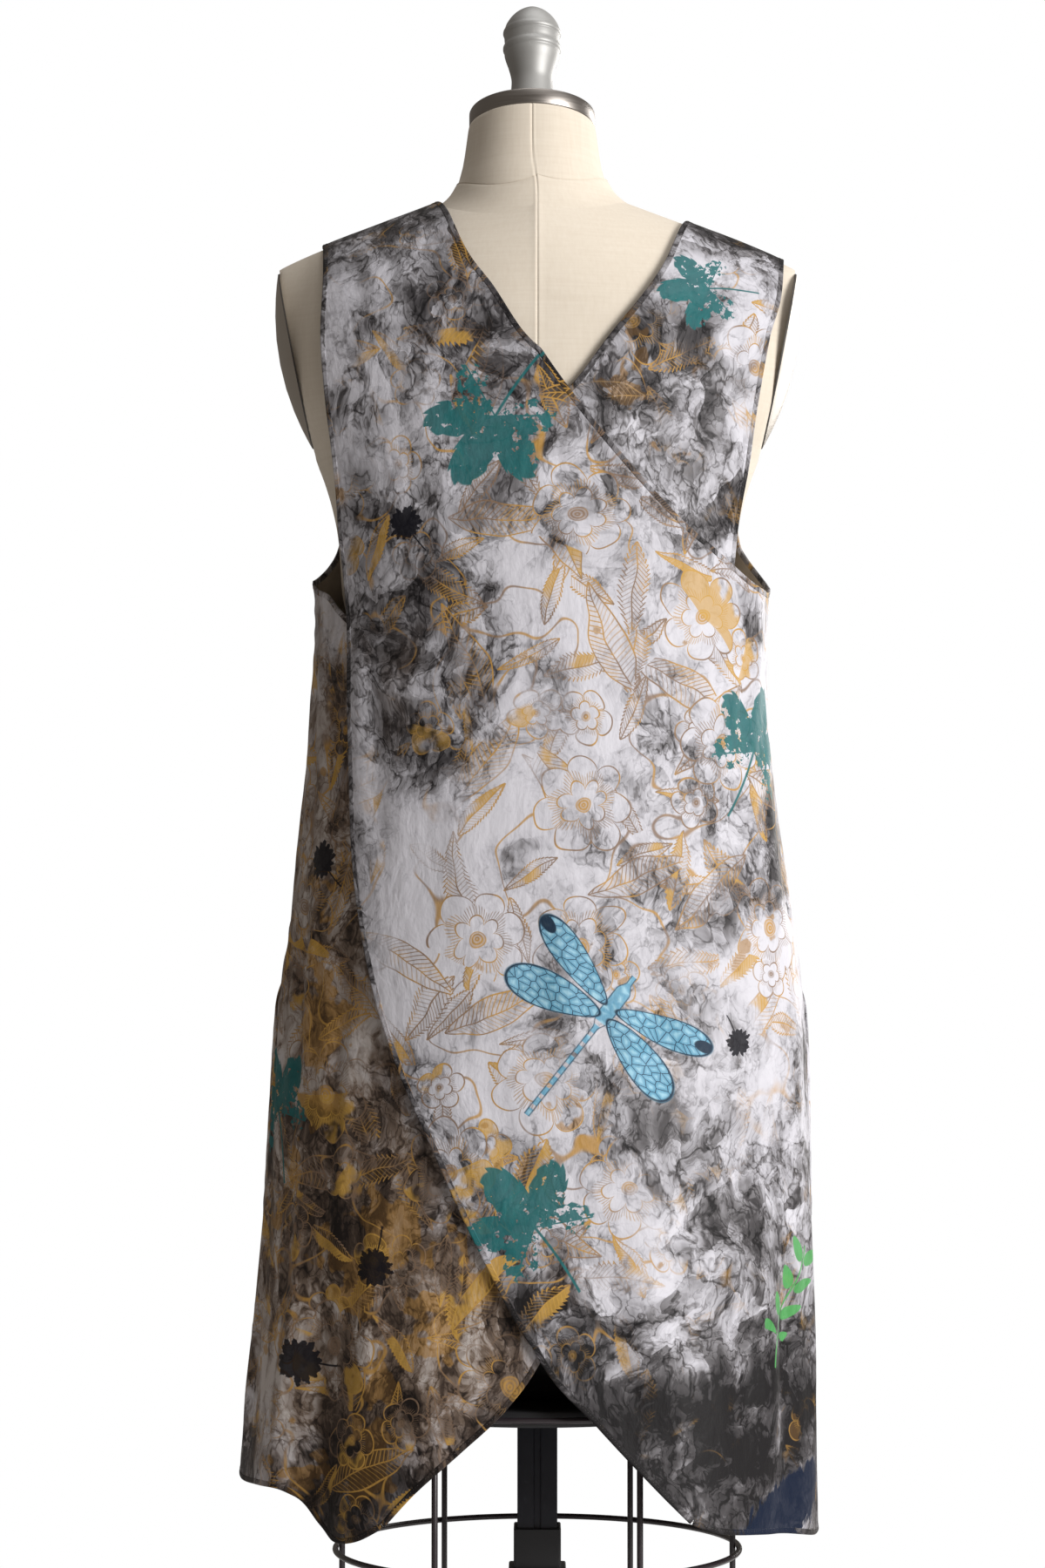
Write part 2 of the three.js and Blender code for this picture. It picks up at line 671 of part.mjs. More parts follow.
function baseBlock() {
  const { left, back, front } = formLevels(formBottom);
  const ring = (z, part) => oval(z, left * part, back * part, front * part, 24);
  return loft([
    ring(boardBottom + boardThick + seamGap, blockFootShare),
    ring(formBottom - seamGap, blockTopShare),
  ]);
}

// ---- Stand ----

function square(sideLength) {
  const h = sideLength / 2;
  return [[-h, -h], [h, -h], [h, h], [-h, h]].map(([x, y]) => new THREE.Vector2(x, y));
}

function squareTube(outside, inside, height) {
  const shape = new THREE.Shape(square(outside));
  shape.holes.push(new THREE.Path(square(inside)));
  return new THREE.ExtrudeGeometry(shape, { depth: height, bevelEnabled: false });
}

function slidingColumn() {
  const h = columnSide / 2;
  const g = grooveWide / 2;
  const d = h - grooveDeep;
  const outline = [
    [-h, -h], [-g, -h], [-g, -d], [g, -d], [g, -h], [h, -h], [h, h], [g, h], [g, d], [-g, d], [-g, h], [-h, h],
  ];
  const shape = new THREE.Shape(outline.map(([x, y]) => new THREE.Vector2(x, y)));
  return new THREE.ExtrudeGeometry(shape, { depth: boardBottom - seamGap - columnFoot, bevelEnabled: false });
}

function standBase() {
  return lathe([
    { r: 0, z: 0 }, { r: baseRadius, z: 0 }, { r: baseRadius, z: baseRim * 0.75 },
    { r: baseRadius - baseRim * 0.4, z: baseRim }, { r: hubRadius * 1.15, z: hubTop * 0.7 },
    { r: hubRadius, z: hubTop }, { r: 0, z: hubTop },
  ], 48);
}

// ---- The object ----

const finishes = {
  cloth: { color: 0xc9c6c4, roughness: 0.62, metalness: 0 },
  binding: { color: 0xe2dfdc, roughness: 0.6, metalness: 0 },
  linen: { color: 0xcfc4ae, roughness: 0.9, metalness: 0 },
  plate: { color: 0x3b3735, roughness: 0.5, metalness: 0 },
  cap: { color: 0xb4b4b2, roughness: 0.35, metalness: 0.9 },
  finial: { color: 0x8d8d8c, roughness: 0.4, metalness: 0.2 },
  black: { color: 0x17171a, roughness: 0.6, metalness: 0 },
  wire: { color: 0x1b1b1d, roughness: 0.4, metalness: 0.6 },
  steel: { color: 0xa9abad, roughness: 0.35, metalness: 0.9 },
};
const materials = Object.fromEntries(
  Object.entries(finishes).map(([name, finish]) => [name, new THREE.MeshStandardMaterial(finish)]),
);

function piece(name, geometry, finish) {
  const mesh = new THREE.Mesh(geometry, materials[finish]);
  mesh.name = name;
  return mesh;
}

function garment() {
  const group = new THREE.Group();
  group.add(piece("front_panel", frontPanel(), "cloth"));
  group.add(piece("back_panel_outer", outerBackPanel(), "cloth"));
  group.add(piece("back_panel_under", underBackPanel(), "cloth"));
  group.add(piece("pocket_left", frontPocket(-1), "cloth"));
  group.add(piece("pocket_right", frontPocket(1), "cloth"));
  for (const [name, shape] of Object.entries(bindings)) group.add(piece(name, binding(shape), "binding"));
  return group;
}

function head() {
  const group = new THREE.Group();
  group.position.set(neckShift, 0, neckRings.at(-1).z);
  group.rotation.x = -neckTilt;
  const cap = piece("neck_cap", neckCap(), "cap");
  cap.position.z = seamGap;
  const finial = piece("finial", lathe(finialProfile, 32), "finial");
  finial.position.z = seamGap + capBand + capDome + seamGap;
  group.add(cap, finial);
  return group;
}

function cage() {
  const group = new THREE.Group();
  for (let i = 0; i < rodCount; i++) {
    const angle = (i / rodCount) * 2 * Math.PI;
    const rod = piece(`cage_rod_${i + 1}`, new THREE.CylinderGeometry(wireRadius, wireRadius, rodTop - rodBottom, 8), "wire");
    rod.rotation.x = Math.PI / 2;
    rod.position.set(rodCircle * Math.cos(angle), rodCircle * Math.sin(angle), (rodTop + rodBottom) / 2);
    group.add(rod);
  }
  const hoopRadius = rodCircle + 2 * wireRadius + seamGap;
  for (const [name, z] of Object.entries(hoops)) {
    const hoop = piece(name, new THREE.TorusGeometry(hoopRadius, wireRadius, 6, 24), "wire");
    hoop.position.z = z;
    group.add(hoop);
  }
  return group;
}

function dressForm() {
  const group = new THREE.Group();
  group.add(piece("form_torso", torso(), "linen"), head(), cage());
  for (const [name, hand] of [["arm_plate_left", -1], ["arm_plate_right", 1]]) {
    const plate = piece(name, armPlate(), "plate");
    plate.applyMatrix4(plateFrame(hand));
    group.add(plate);
  }
  const board = piece("base_board", new THREE.CylinderGeometry(boardRadius, boardRadius, boardThick, 48), "black");
  board.rotation.x = Math.PI / 2;
  board.position.z = boardBottom + boardThick / 2;
  const inner = piece("sliding_column", slidingColumn(), "steel");
  inner.position.z = columnFoot;
  group.add(piece("base_block", baseBlock(), "black"), board, inner);
  return group;
}

function stand() {
  const group = new THREE.Group();
  const foot = piece("stand_base", standBase(), "steel");
  const sleeveFoot = hubTop + seamGap;
  const sleeve = piece("stand_sleeve", squareTube(sleeveSide, sleeveSlot, sleeveTop - sleeveFoot), "steel");
  sleeve.position.z = sleeveFoot;
  const collarFoot = sleeveTop + seamGap;
  const collar = piece("stand_collar", squareTube(collarSide, sleeveSlot, collarTop - collarFoot), "black");
  collar.position.z = collarFoot;
  group.add(foot, sleeve, collar);
  return group;
}

const group = new THREE.Group();
group.add(garment(), dressForm(), stand());

export default group;
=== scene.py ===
import math

import bmesh
import bpy
import numpy as np
from mathutils import Matrix, Vector


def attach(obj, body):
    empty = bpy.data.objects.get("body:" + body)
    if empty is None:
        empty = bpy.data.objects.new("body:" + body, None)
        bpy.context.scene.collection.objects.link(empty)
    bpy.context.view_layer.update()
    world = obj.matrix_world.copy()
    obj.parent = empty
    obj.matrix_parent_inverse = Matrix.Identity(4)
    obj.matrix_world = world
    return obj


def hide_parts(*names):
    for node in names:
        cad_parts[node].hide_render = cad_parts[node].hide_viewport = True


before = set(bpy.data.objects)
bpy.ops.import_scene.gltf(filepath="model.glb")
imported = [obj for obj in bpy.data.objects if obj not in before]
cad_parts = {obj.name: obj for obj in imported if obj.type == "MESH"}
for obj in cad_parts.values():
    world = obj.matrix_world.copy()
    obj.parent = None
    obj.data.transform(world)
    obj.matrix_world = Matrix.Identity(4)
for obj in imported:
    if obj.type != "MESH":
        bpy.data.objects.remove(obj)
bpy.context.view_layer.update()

# A cross-back apron dress on a limbless dress form. Metres, +Z up, and the dress's back faces -Y.
# Sizes are written in millimetres where they are small, times mm.
mm = 0.001

# ---- Driving dimensions, shared with the solids ----

cloth_wall = 1.2 * mm
seam_gap = 0.3 * mm
binding_width = 4 * mm
binding_half_wall = 1.05 * mm
binding_trim = 0.4 * mm
binding_lap = 0.5 * mm  # how far a binding folds over the cloth's edge
layer_lift = 5.6 * mm
shoulder_rest = 2.2 * mm
shoulder_round = 110 * mm
quarter_run = shoulder_round * math.pi / 2

# z, half width to -X and to +X, depth behind and in front.
dress_levels = np.array([
    (400, 226, 210, 175, 178), (500, 219, 209, 168, 172), (600, 209, 207, 158, 165),
    (700, 201, 204, 148, 158), (800, 194, 200, 136, 151), (900, 181, 187, 125, 145),
    (1010, 172, 174, 114, 140), (1115, 169, 176, 112, 138), (1162, 179, 182, 112, 136),
    (1210, 196, 196, 111, 129), (1250, 209, 209, 108, 117), (1290, 218, 218, 101, 101),
    (1340, 219, 219, 93, 86), (1450, 219, 219, 88, 76),
]) * mm
dress_widest = 219 * mm
form_levels = np.array([
    (600, 156, 156, 102, 102), (680, 164, 164, 111, 110), (760, 168, 168, 117, 115),
    (830, 166, 166, 117, 113), (900, 150, 150, 108, 106), (1010, 129, 129, 92, 98),
    (1100, 147, 147, 102, 122), (1162, 153, 153, 106, 130), (1210, 168, 168, 106, 124),
    (1250, 191, 191, 103, 112), (1290, 207, 207, 96, 96), (1340, 215, 215, 87, 77),
    (1450, 215, 215, 81, 66),
]) * mm
form_widest = 215 * mm
form_bottom = 600 * mm
# Distance from the middle, and the shoulder line's height there.
shoulder_line = np.array([
    (0, 1434), (40, 1418), (62, 1409.5), (86, 1400.5), (120, 1388), (160, 1373), (190, 1360), (220, 1344),
]) * mm

# Largest folds: face, degrees from the centre, depth outwards, half spread in degrees, and the heights
# where they start and where they are deepest.
large_folds = [
    ("back", -47, -13, 6, 640, 470), ("back", -59, 7, 7, 640, 450), ("back", -20, 4, 9, 760, 480),
    ("back", 34, 5, 10, 820, 450), ("back", 58, -5, 8, 760, 450), ("front", -42, 8, 10, 820, 470),
    ("front", -18, -8, 9, 780, 460), ("front", 10, 7, 11, 900, 480), ("front", 38, -7, 9, 800, 450),
]

# Edge lines as seen square on, in millimetres.
edge_points = {
    "outer_wrap": [
        (-160, "shoulder"), (-154, 1319), (-146, 1215), (-139, 1138), (-133, 1070), (-132, 990),
        (-128, 900), (-118, 831), (-97, 758), (-69, 694), (-36, 622), (3, 552), (43, 504), (80, 463),
        (106, 434),
    ],
    "outer_neck": [
        (-84, "shoulder"), (-59, 1360), (-33, 1318), (-7, 1279), (24, 1238), (62, 1191), (100, 1151),
        (126, 1130), (146, 1114), (159, 1106), (168, 1104), ("right", 1109),
    ],
    "outer_hem": [(106, 434), (126, 426), (160, 421), (188, 416), ("right", 409)],
    "under_wrap": [
        (184, "shoulder"), (180, 1334), (169, 1293), (160, 1245), (152, 1189), (144, 1138), (139, 1080),
        (138, 1010), (135, 930), (124, 835), (97, 752), (66, 675), (36, 612), (3, 554), (-23, 517),
        (-56, 485), (-87, 456), (-110, 431),
    ],
    "under_neck": [
        (120, "shoulder"), (99, 1349), (56, 1286), (20, 1240), (-32, 1178), (-83, 1116), (-102, 1092),
        (-119, 1078), (-134, 1076), (-148, 1089), (-158, 1102), ("left", 1116),
    ],
    "under_hem": [(-110, 431), (-130, 420), (-149, 418), (-164, 427), (-177, 447), (-196, 452),
                  ("left", 452)],
    "front_neck": [
        (-84, "shoulder"), (-76, 1358), (-46, 1322), (-24, 1312.5), (-8, 1308), (0, 1306.5), (8, 1305.3),
        (24, 1303.8), (48, 1306), (78, 1320), (110, 1352), (120, "shoulder"),
    ],
    "front_arm_left": [
        (-160, "shoulder"), (-156, 1320), (-150, 1260), (-147, 1200), (-151, 1158), (-160, 1133),
        ("left", 1116),
    ],
    "front_arm_right": [
        (184, "shoulder"), (177, 1310), (166, 1250), (156, 1200), (154, 1163), (162, 1140), ("right", 1109),
    ],
    "front_hem": [
        ("left", 452), (-170, 459), (-90, 470), (20, 472), (110, 462), (175, 436), ("right", 409),
    ],
}
underarm = 0.37  # share of the way down at which a panel's armhole meets its side seam
pocket_mouth = [(90, 778), (82, 806), (67, 836), (50, 858)]  # degrees from centre front, and height
pocket_bottom = 640
pocket_rows, pocket_columns = 50, 40
pocket_bulge = {-1: 6 * mm, 1: 4 * mm}

# ---- Smooth tables and lines ----


def smooth_table(rows):
    """A function of a table's first column. Its tangents are the mean of the slopes on the two sides."""
    keys, values = rows[:, 0], rows[:, 1:]
    slopes = np.diff(values, axis=0) / np.diff(keys)[:, None]
    tangents = np.concatenate([slopes[:1], (slopes[:-1] + slopes[1:]) / 2, slopes[-1:]])

    def read(at):
        at = np.clip(at, keys[0], keys[-1])
        i = np.clip(np.searchsorted(keys, at, side="right") - 1, 0, len(keys) - 2)
        step = keys[i + 1] - keys[i]
        t = ((at - keys[i]) / step)[..., None]
        step = step[..., None]
        return (
            (2 * t**3 - 3 * t**2 + 1) * values[i] + (t**3 - 2 * t**2 + t) * step * tangents[i]
            + (3 * t**2 - 2 * t**3) * values[i + 1] + (t**3 - t**2) * step * tangents[i + 1]
        )

    return read


def share(value, start, end):
    way = np.clip((value - start) / (end - start), 0, 1)
    return way * way * (3 - 2 * way)


def evenly(count, power=1.0):
    return (np.arange(count + 1) / count) ** power


def full_turn(count):
    """Angles at equal steps round a circle."""
    return np.arange(count) / count * 2 * np.pi


def unit(vectors):
    return vectors / np.linalg.norm(vectors, axis=-1, keepdims=True)


def bell(value):
    return np.exp(-(value**2))


def run_along(points):
    """The length of a line of points up to each of them."""
    return np.concatenate([[0], np.cumsum(np.linalg.norm(np.diff(points, axis=0), axis=1))])


read_dress = smooth_table(dress_levels)
read_form = smooth_table(form_levels)
read_shoulder = smooth_table(shoulder_line)

# ---- The worn surface ----
# A place on it is (turn, run): the turn in radians from centre back or centre front, and the run of cloth
# down from the shoulder line.

dress = {"levels": read_dress, "widest": dress_widest, "raise": shoulder_rest, "folds": large_folds}
form = {"levels": read_form, "widest": form_widest, "raise": 0.0, "folds": []}


def shoulder_height(turn, body=dress):
    return read_shoulder(body["widest"] * np.abs(np.sin(turn)))[..., 0] + body["raise"]


def run_for(drop):
    bent = shoulder_round * np.arccos(1 - np.clip(drop, 0, shoulder_round) / shoulder_round)
    return np.where(drop >= shoulder_round, quarter_run + drop - shoulder_round, bent)


def drop_for(run):
    bent = shoulder_round * (1 - np.cos(run / shoulder_round))
    return np.where(run < quarter_run, bent, shoulder_round + run - quarter_run)


def level_at(z, turn, face, body):
    level = body["levels"](z)
    half = np.where(turn < 0, level[..., 0], level[..., 1])
    return half, level[..., 2 if face == "back" else 3]


def surface(turn, run, face, body=dress):
    z = shoulder_height(turn, body) - drop_for(run)
    half, depth = level_at(z, turn, face, body)
    push = np.zeros_like(z)
    for side, middle, deep, spread, start, full in body["folds"]:
        if side == face:
            away = (np.degrees(turn) - middle) / spread
            push = push + deep * mm * bell(away) * share(z, start * mm, full * mm)
    over = np.where(run < quarter_run, np.sin(run / shoulder_round), 1.0)
    y = (depth + push) * np.cos(turn) * over
    return np.stack([(half + push) * np.sin(turn), -y if face == "back" else y, z], axis=-1)


def outward(turn, run, face, body=dress):
    across = surface(turn + 1e-3, run, face, body) - surface(turn - 1e-3, run, face, body)
    down = surface(turn, run + mm, face, body) - surface(turn, run - mm, face, body)
    out = unit(np.cross(across, down))
    return -out if face == "back" else out


def height_of(place):
    return shoulder_height(place[..., 0]) - drop_for(place[..., 1])


def place_at(turn, z):
    turn, z = np.broadcast_arrays(np.asarray(turn, float), np.asarray(z, float))
    return np.stack([turn, run_for(shoulder_height(turn) - z)], axis=-1)


def place_of(point):
    across, z = point
    if z == "shoulder":
        return np.array([math.asin(across * mm / dress_widest), 0.0])
    if across in ("left", "right"):
        return place_at(math.pi / 2 * (-1 if across == "left" else 1), z * mm)
    half = read_dress(np.array(z * mm))[0 if across < 0 else 1]
    return place_at(math.asin(across * mm / half), z * mm)


def off_seams(place, face):
    """Holds places just off the side and shoulder seams."""
    turn, run = place[..., 0], place[..., 1]
    depth = read_dress(height_of(place))[..., 2 if face == "back" else 3]
    limit = math.pi / 2 - seam_gap / 2 / depth
    turn = np.clip(turn, -limit, limit)
    least = shoulder_round * seam_gap / 2 / (depth * np.cos(np.minimum(np.abs(turn), 1.2)))
    return np.stack([turn, np.maximum(run, least)], axis=-1)


arc_steps = 16  # that a level's curve is measured in


def cut_map(place, face):
    """Where each place lies on the flat cloth: across from the centre line, and along, in metres."""
    turn, run = place[..., 0], place[..., 1]
    half, depth = level_at(height_of(place), turn, face, dress)
    steps = (np.arange(arc_steps) + 0.5) / arc_steps
    angle = turn[..., None] * steps
    speed = np.hypot(half[..., None] * np.cos(angle), depth[..., None] * np.sin(angle))
    along = shoulder_height(turn) - run + quarter_run - shoulder_round
    return np.stack([turn * speed.mean(axis=-1), along], axis=-1)


def smooth_edge(places):
    """A Catmull-Rom line through places, read by its share of the length."""
    points = np.array(places) * (dress_widest, 1)
    padded = np.concatenate([points[:1], points, points[-1:]])
    t = evenly(60)[:-1, None]
    dense = []
    for p0, p1, p2, p3 in zip(padded, padded[1:], padded[2:], padded[3:]):
        v0, v1 = (p2 - p0) / 2, (p3 - p1) / 2
        cubed, squared = 2 * p1 - 2 * p2 + v0 + v1, -3 * p1 + 3 * p2 - 2 * v0 - v1
        dense.append(cubed * t**3 + squared * t**2 + v0 * t + p1)
    dense = np.concatenate([*dense, points[-1:]])
    length = run_along(dense)

    def read(at):
        s = np.clip(at, 0, 1) * length[-1]
        turn = np.interp(s, length, dense[:, 0]) / dress_widest
        return np.stack([turn, np.interp(s, length, dense[:, 1])], axis=-1)

    return read


def straight_edge(start, end):
    return lambda at: start + (end - start) * np.asarray(at, float)[..., None]


def shoulder_seam(start, end):
    return straight_edge(place_of((start, "shoulder")), place_of((end, "shoulder")))


def side_seam(name, top, bottom):
    return straight_edge(place_of((name, top)), place_of((name, bottom)))


def chain(*parts):
    """Joins lines end to end. Each entry is where its line ends, as a share of the whole, and the line."""

    def read(at):
        at = np.asarray(at, float)
        found = np.zeros(at.shape + (2,))
        start = 0.0
        for end, line in parts:
            here = (at >= start - 1e-9) & (at <= end + 1e-9)
            found[here] = line((at[here] - start) / (end - start))
            start = end
        return found

    return read


def retimed(line, meets):
    return chain((underarm, lambda at: line(at * meets)), (1.0, lambda at: line(meets + at * (1 - meets))))


edges = {name: smooth_edge([place_of(point) for point in points]) for name, points in edge_points.items()}
edges["outer_wrap"] = retimed(edges["outer_wrap"], 0.4)
edges["under_wrap"] = retimed(edges["under_wrap"], 0.56)
left_seam = side_seam("left", 1116, 448)
right_seam = side_seam("right", 1109, 409)

# ---- Creases ----
# Each is a soft trough (negative depth) or ridge on one panel, placed on the flat cloth in millimetres:
# start, end, sideways bend at its middle, half width, depth.

creases = {
    "outer": [
        ((-118, 1120), (-112, 880), 5, 9, -1.5), ((-96, 1260), (-60, 1120), -7, 11, 1.1),
        ((5, 1215), (62, 1120), 6, 9, -1.3), ((30, 1238), (96, 1150), 4, 7, 0.9),
        ((-70, 1390), (-84, 1300), 3, 9, -1.1), ((-128, 1385), (-120, 1290), -3, 8, 1.0),
        ((176, 1085), (160, 985), 4, 7, -1.7), ((198, 1050), (190, 930), -3, 7, 1.5),
        ((205, 985), (178, 900), 5, 8, -1.4), ((222, 930), (214, 830), -4, 7, 1.5),
        ((150, 930), (168, 790), 6, 12, 1.6), ((66, 860), (92, 670), -9, 15, -2.2),
        ((20, 900), (34, 720), 6, 14, 1.5), ((-52, 960), (-40, 800), 5, 16, 1.2),
        ((110, 760), (132, 470), 7, 17, -2.4), ((160, 700), (176, 430), -6, 15, 2.6),
        ((204, 640), (214, 425), 5, 11, -2.6), ((58, 640), (84, 500), -4, 13, 2.0),
        ((-44, 780), (10, 640), 9, 15, -1.4), ((236, 700), (246, 430), -4, 9, 2.4),
        ((30, 1060), (-10, 940), 8, 18, -1.0), ((120, 1090), (92, 960), -8, 15, 1.1),
    ],
    "under": [
        ((158, 1340), (150, 1240), 3, 8, -1.2), ((128, 1300), (108, 1200), -4, 10, 1.0),
        ((150, 1210), (128, 1120), 4, 9, 1.1), ((60, 1270), (100, 1170), 5, 9, -1.0),
        ((-186, 1080), (-178, 930), 4, 6, 1.4), ((-208, 1060), (-196, 900), -4, 6, -1.5),
        ((-160, 1040), (-164, 900), 3, 7, -1.2), ((-224, 980), (-232, 850), 3, 6, 1.2),
        ((-176, 930), (-184, 700), 5, 7, 1.9), ((-200, 900), (-206, 690), -4, 6, -2.1),
        ((-222, 880), (-232, 640), 5, 6, 2.0), ((-246, 860), (-250, 660), -3, 5, -1.7),
        ((-156, 880), (-160, 640), -5, 8, -1.6), ((-140, 800), (-150, 560), 6, 8, 1.8),
        ((-190, 700), (-214, 450), -6, 8, 2.4), ((-236, 690), (-262, 460), 5, 8, -2.4),
        ((-110, 700), (-128, 470), 6, 11, 1.9), ((-80, 640), (-60, 520), -6, 11, -1.4),
        ((-252, 640), (-282, 455), -4, 6, 2.0), ((-168, 620), (-178, 430), 5, 6, -2.0),
    ],
    "front": [
        ((-60, 1290), (-96, 1180), 8, 13, 1.4), ((56, 1296), (98, 1176), -8, 12, 1.5),
        ((-8, 1290), (-4, 1210), 3, 14, -1.1), ((-104, 1170), (-150, 1060), -8, 12, 1.6),
        ((104, 1164), (158, 1050), 9, 12, 1.5), ((-150, 1110), (-196, 1040), 5, 9, -1.4),
        ((152, 1104), (200, 1032), -5, 9, -1.4), ((-40, 1130), (-52, 900), 9, 18, 1.8),
        ((38, 1120), (60, 860), -9, 19, 1.7), ((0, 1050), (6, 780), 6, 17, -1.6),
        ((-98, 960), (-118, 700), -8, 17, -2.1), ((104, 950), (122, 690), 8, 16, -2.1),
        ((-168, 900), (-178, 700), 5, 12, 1.8), ((176, 880), (186, 690), -5, 12, 1.8),
        ((-60, 780), (-78, 500), 7, 17, 2.6), ((66, 770), (76, 500), -6, 16, 2.4),
        ((-132, 700), (-160, 480), 6, 14, -2.6), ((142, 700), (160, 460), -6, 14, -2.6),
        ((-8, 720), (-2, 490), -5, 15, 2.3), ((-216, 640), (-240, 470), 4, 9, 2.2),
        ((206, 630), (236, 450), -4, 9, 2.2), ((24, 640), (30, 485), 4, 11, -2.0),
        ((-236, 1030), (-228, 900), -3, 6, 1.3), ((238, 1010), (226, 890), 3, 6, 1.3),
    ],
}


top_fade = 60 * mm  # run of cloth over which creases fade in
crease_gain = 1.45  # over the depths in the table
deepest_crease = 2.6 * mm
give_past_deepest = 0.3  # how much of a crease's depth is left past the deepest


def crease_relief(flat, panel):
    """Outward push of the creases, with a lower shoulder on one side of each."""
    total = np.zeros(flat.shape[:-1])
    for start, end, bend, half_width, depth in creases[panel]:
        start, end = np.array(start) * mm, np.array(end) * mm
        way = end - start
        length = np.linalg.norm(way)
        away = flat - start
        along = np.clip((away @ way) / length**2, 0, 1)
        off_line = (away[..., 0] * way[1] - away[..., 1] * way[0]) / length
        aside = off_line - 4 * bend * mm * along * (1 - along)
        s = aside / (half_width * mm)
        profile = bell(s) - 0.45 * bell(s - 1.7)
        total += crease_gain * depth * mm * profile * np.sin(np.pi * along) ** 1.2
    held = (total + deepest_crease) * give_past_deepest - deepest_crease
    return np.where(total < -deepest_crease, held, total)


def slack(flat):
    """Small unevenness that all worn cloth has."""
    u, v = flat[..., 0] / mm, flat[..., 1] / mm
    return mm * (
        0.35 * np.sin(u / 23 + 1.3 * np.sin(v / 61)) * np.sin(v / 47 + 0.8)
        + 0.18 * np.sin(u / 9.5 + 1.1 * np.sin(v / 29)) * np.sin(v / 33 + u / 40)
    )


def seam_pucker(place, face):
    """A shallow groove along the side seams, with small uneven puckers across it."""
    depth = read_dress(height_of(place))[..., 2 if face == "back" else 3]
    off = (math.pi / 2 - np.abs(place[..., 0])) * depth
    run = place[..., 1] / mm
    puckers = 0.5 * np.sin(run / 3.6 + 1.7 * np.sin(run / 17)) * (0.6 + 0.4 * np.sin(run / 41))
    groove = 0.9 * bell(off / (2.2 * mm)) + 0.5 * bell(place[..., 1] / (2.5 * mm))
    return -mm * (groove + puckers * bell(off / (9 * mm)))


def outer_lift(place):
    fade = 1 - share(np.sin(place[..., 0]), 0.92, 0.995)
    return layer_lift * fade * share(place[..., 1], 0, quarter_run * 0.8)


def relief(place, face, panel):
    flat = cut_map(place, face)
    lift = outer_lift(place) if panel == "outer" else 0.0
    near_top = share(place[..., 1], 0, top_fade)
    return lift + crease_relief(flat, panel) + slack(flat) * near_top + seam_pucker(place, face)


def on_cloth(place, face, panel, extra=0.0):
    turn, run = place[..., 0], place[..., 1]
    out = outward(turn, run, face)
    return surface(turn, run, face) + out * (relief(place, face, panel) + extra)[..., None]


# ---- Meshes ----


def mesh_object(name, points, faces, uv=None, materials=(), slots=None, smooth=True, sharp=None):
    mesh = bpy.data.meshes.new(name)
    mesh.from_pydata(np.asarray(points).tolist(), [], [list(f) for f in faces])
    if uv is not None:
        layer = mesh.uv_layers.new(name="cut")
        index = np.zeros(len(mesh.loops), np.int32)
        mesh.loops.foreach_get("vertex_index", index)
        layer.data.foreach_set("uv", np.asarray(uv, np.float32)[index].ravel())
    for material in materials:
        mesh.materials.append(finishes[material])
    if slots is not None:
        mesh.polygons.foreach_set("material_index", np.asarray(slots, np.int32))
    if smooth:
        mesh.polygons.foreach_set("use_smooth", np.ones(len(mesh.polygons), bool))
    if sharp is not None:
        mesh.set_sharp_from_angle(angle=math.radians(sharp))
    mesh.update()
    made = bpy.data.objects.new(name, mesh)
    bpy.context.scene.collection.objects.link(made)
    return made


def grid_faces(rows, columns, start=0, flip=False, closed=False):
    """Quads over a grid of points, as rows of four indices."""
    r, c = np.meshgrid(np.arange(rows - 1), np.arange(columns if closed else columns - 1), indexing="ij")
    after = (c + 1) % columns
    above, below = r * columns, (r + 1) * columns
    quads = np.stack([above + c, below + c, below + after, above + after], axis=-1).reshape(-1, 4) + start
    return quads[:, ::-1] if flip else quads


def rim_faces(rows, columns):
    """Quads that close the wall between an outer grid and an inner grid that follows it."""
    top = np.arange(columns)
    right = np.arange(1, rows) * columns + columns - 1
    bottom = (rows - 1) * columns + np.arange(columns - 1)[::-1]
    left = (np.arange(1, rows - 1) * columns)[::-1]
    loop = np.concatenate([top, right, bottom, left])
    after = np.roll(loop, -1)
    inner = rows * columns
    return np.stack([loop, after, after + inner, loop + inner], axis=-1)


def volume_sign(points, faces):
    """Positive where the faces point outwards."""
    corners = np.asarray(points)[np.asarray(faces)]
    middle = corners.reshape(-1, 3).mean(axis=0)
    a, b, c, d = (corners[:, k] - middle for k in range(4))
    return np.sum(np.cross(a, b) * c) + np.sum(np.cross(a, c) * d)


def shell(name, outer, inner, flat, materials):
    """A cloth wall: the right side in the first material, the wrong side in the second."""
    rows, columns = outer.shape[:2]
    points = np.concatenate([outer.reshape(-1, 3), inner.reshape(-1, 3)])
    faces = np.concatenate([
        grid_faces(rows, columns), grid_faces(rows, columns, rows * columns, flip=True),
        rim_faces(rows, columns),
    ])
    slots = np.zeros(len(faces), int)
    count = (rows - 1) * (columns - 1)
    slots[count:2 * count] = 1
    if volume_sign(points, faces) < 0:
        faces = faces[:, ::-1]
    uv = np.concatenate([flat.reshape(-1, 2)] * 2)
    return mesh_object(name, points, faces, uv, materials, slots, sharp=50)


def sweep(name, rings, materials, uv=None, closed=False, sharp=None, top_end=True):
    """A body through rings of points, with a flat end at each end unless it is closed."""
    count, around = rings.shape[:2]
    points = rings.reshape(-1, 3)
    if closed:
        faces = grid_faces(count + 1, around, closed=True) % (count * around)
        ends = []
    else:
        faces = grid_faces(count, around, closed=True)
        ends = [(count - 1) * around + np.arange(around)[::-1]]
        if top_end:
            ends.append(np.arange(around))
    if volume_sign(points, faces) < 0:
        faces = faces[:, ::-1]
        ends = [end[::-1] for end in ends]
    return mesh_object(name, points, [*faces, *ends], uv, materials, sharp=sharp)


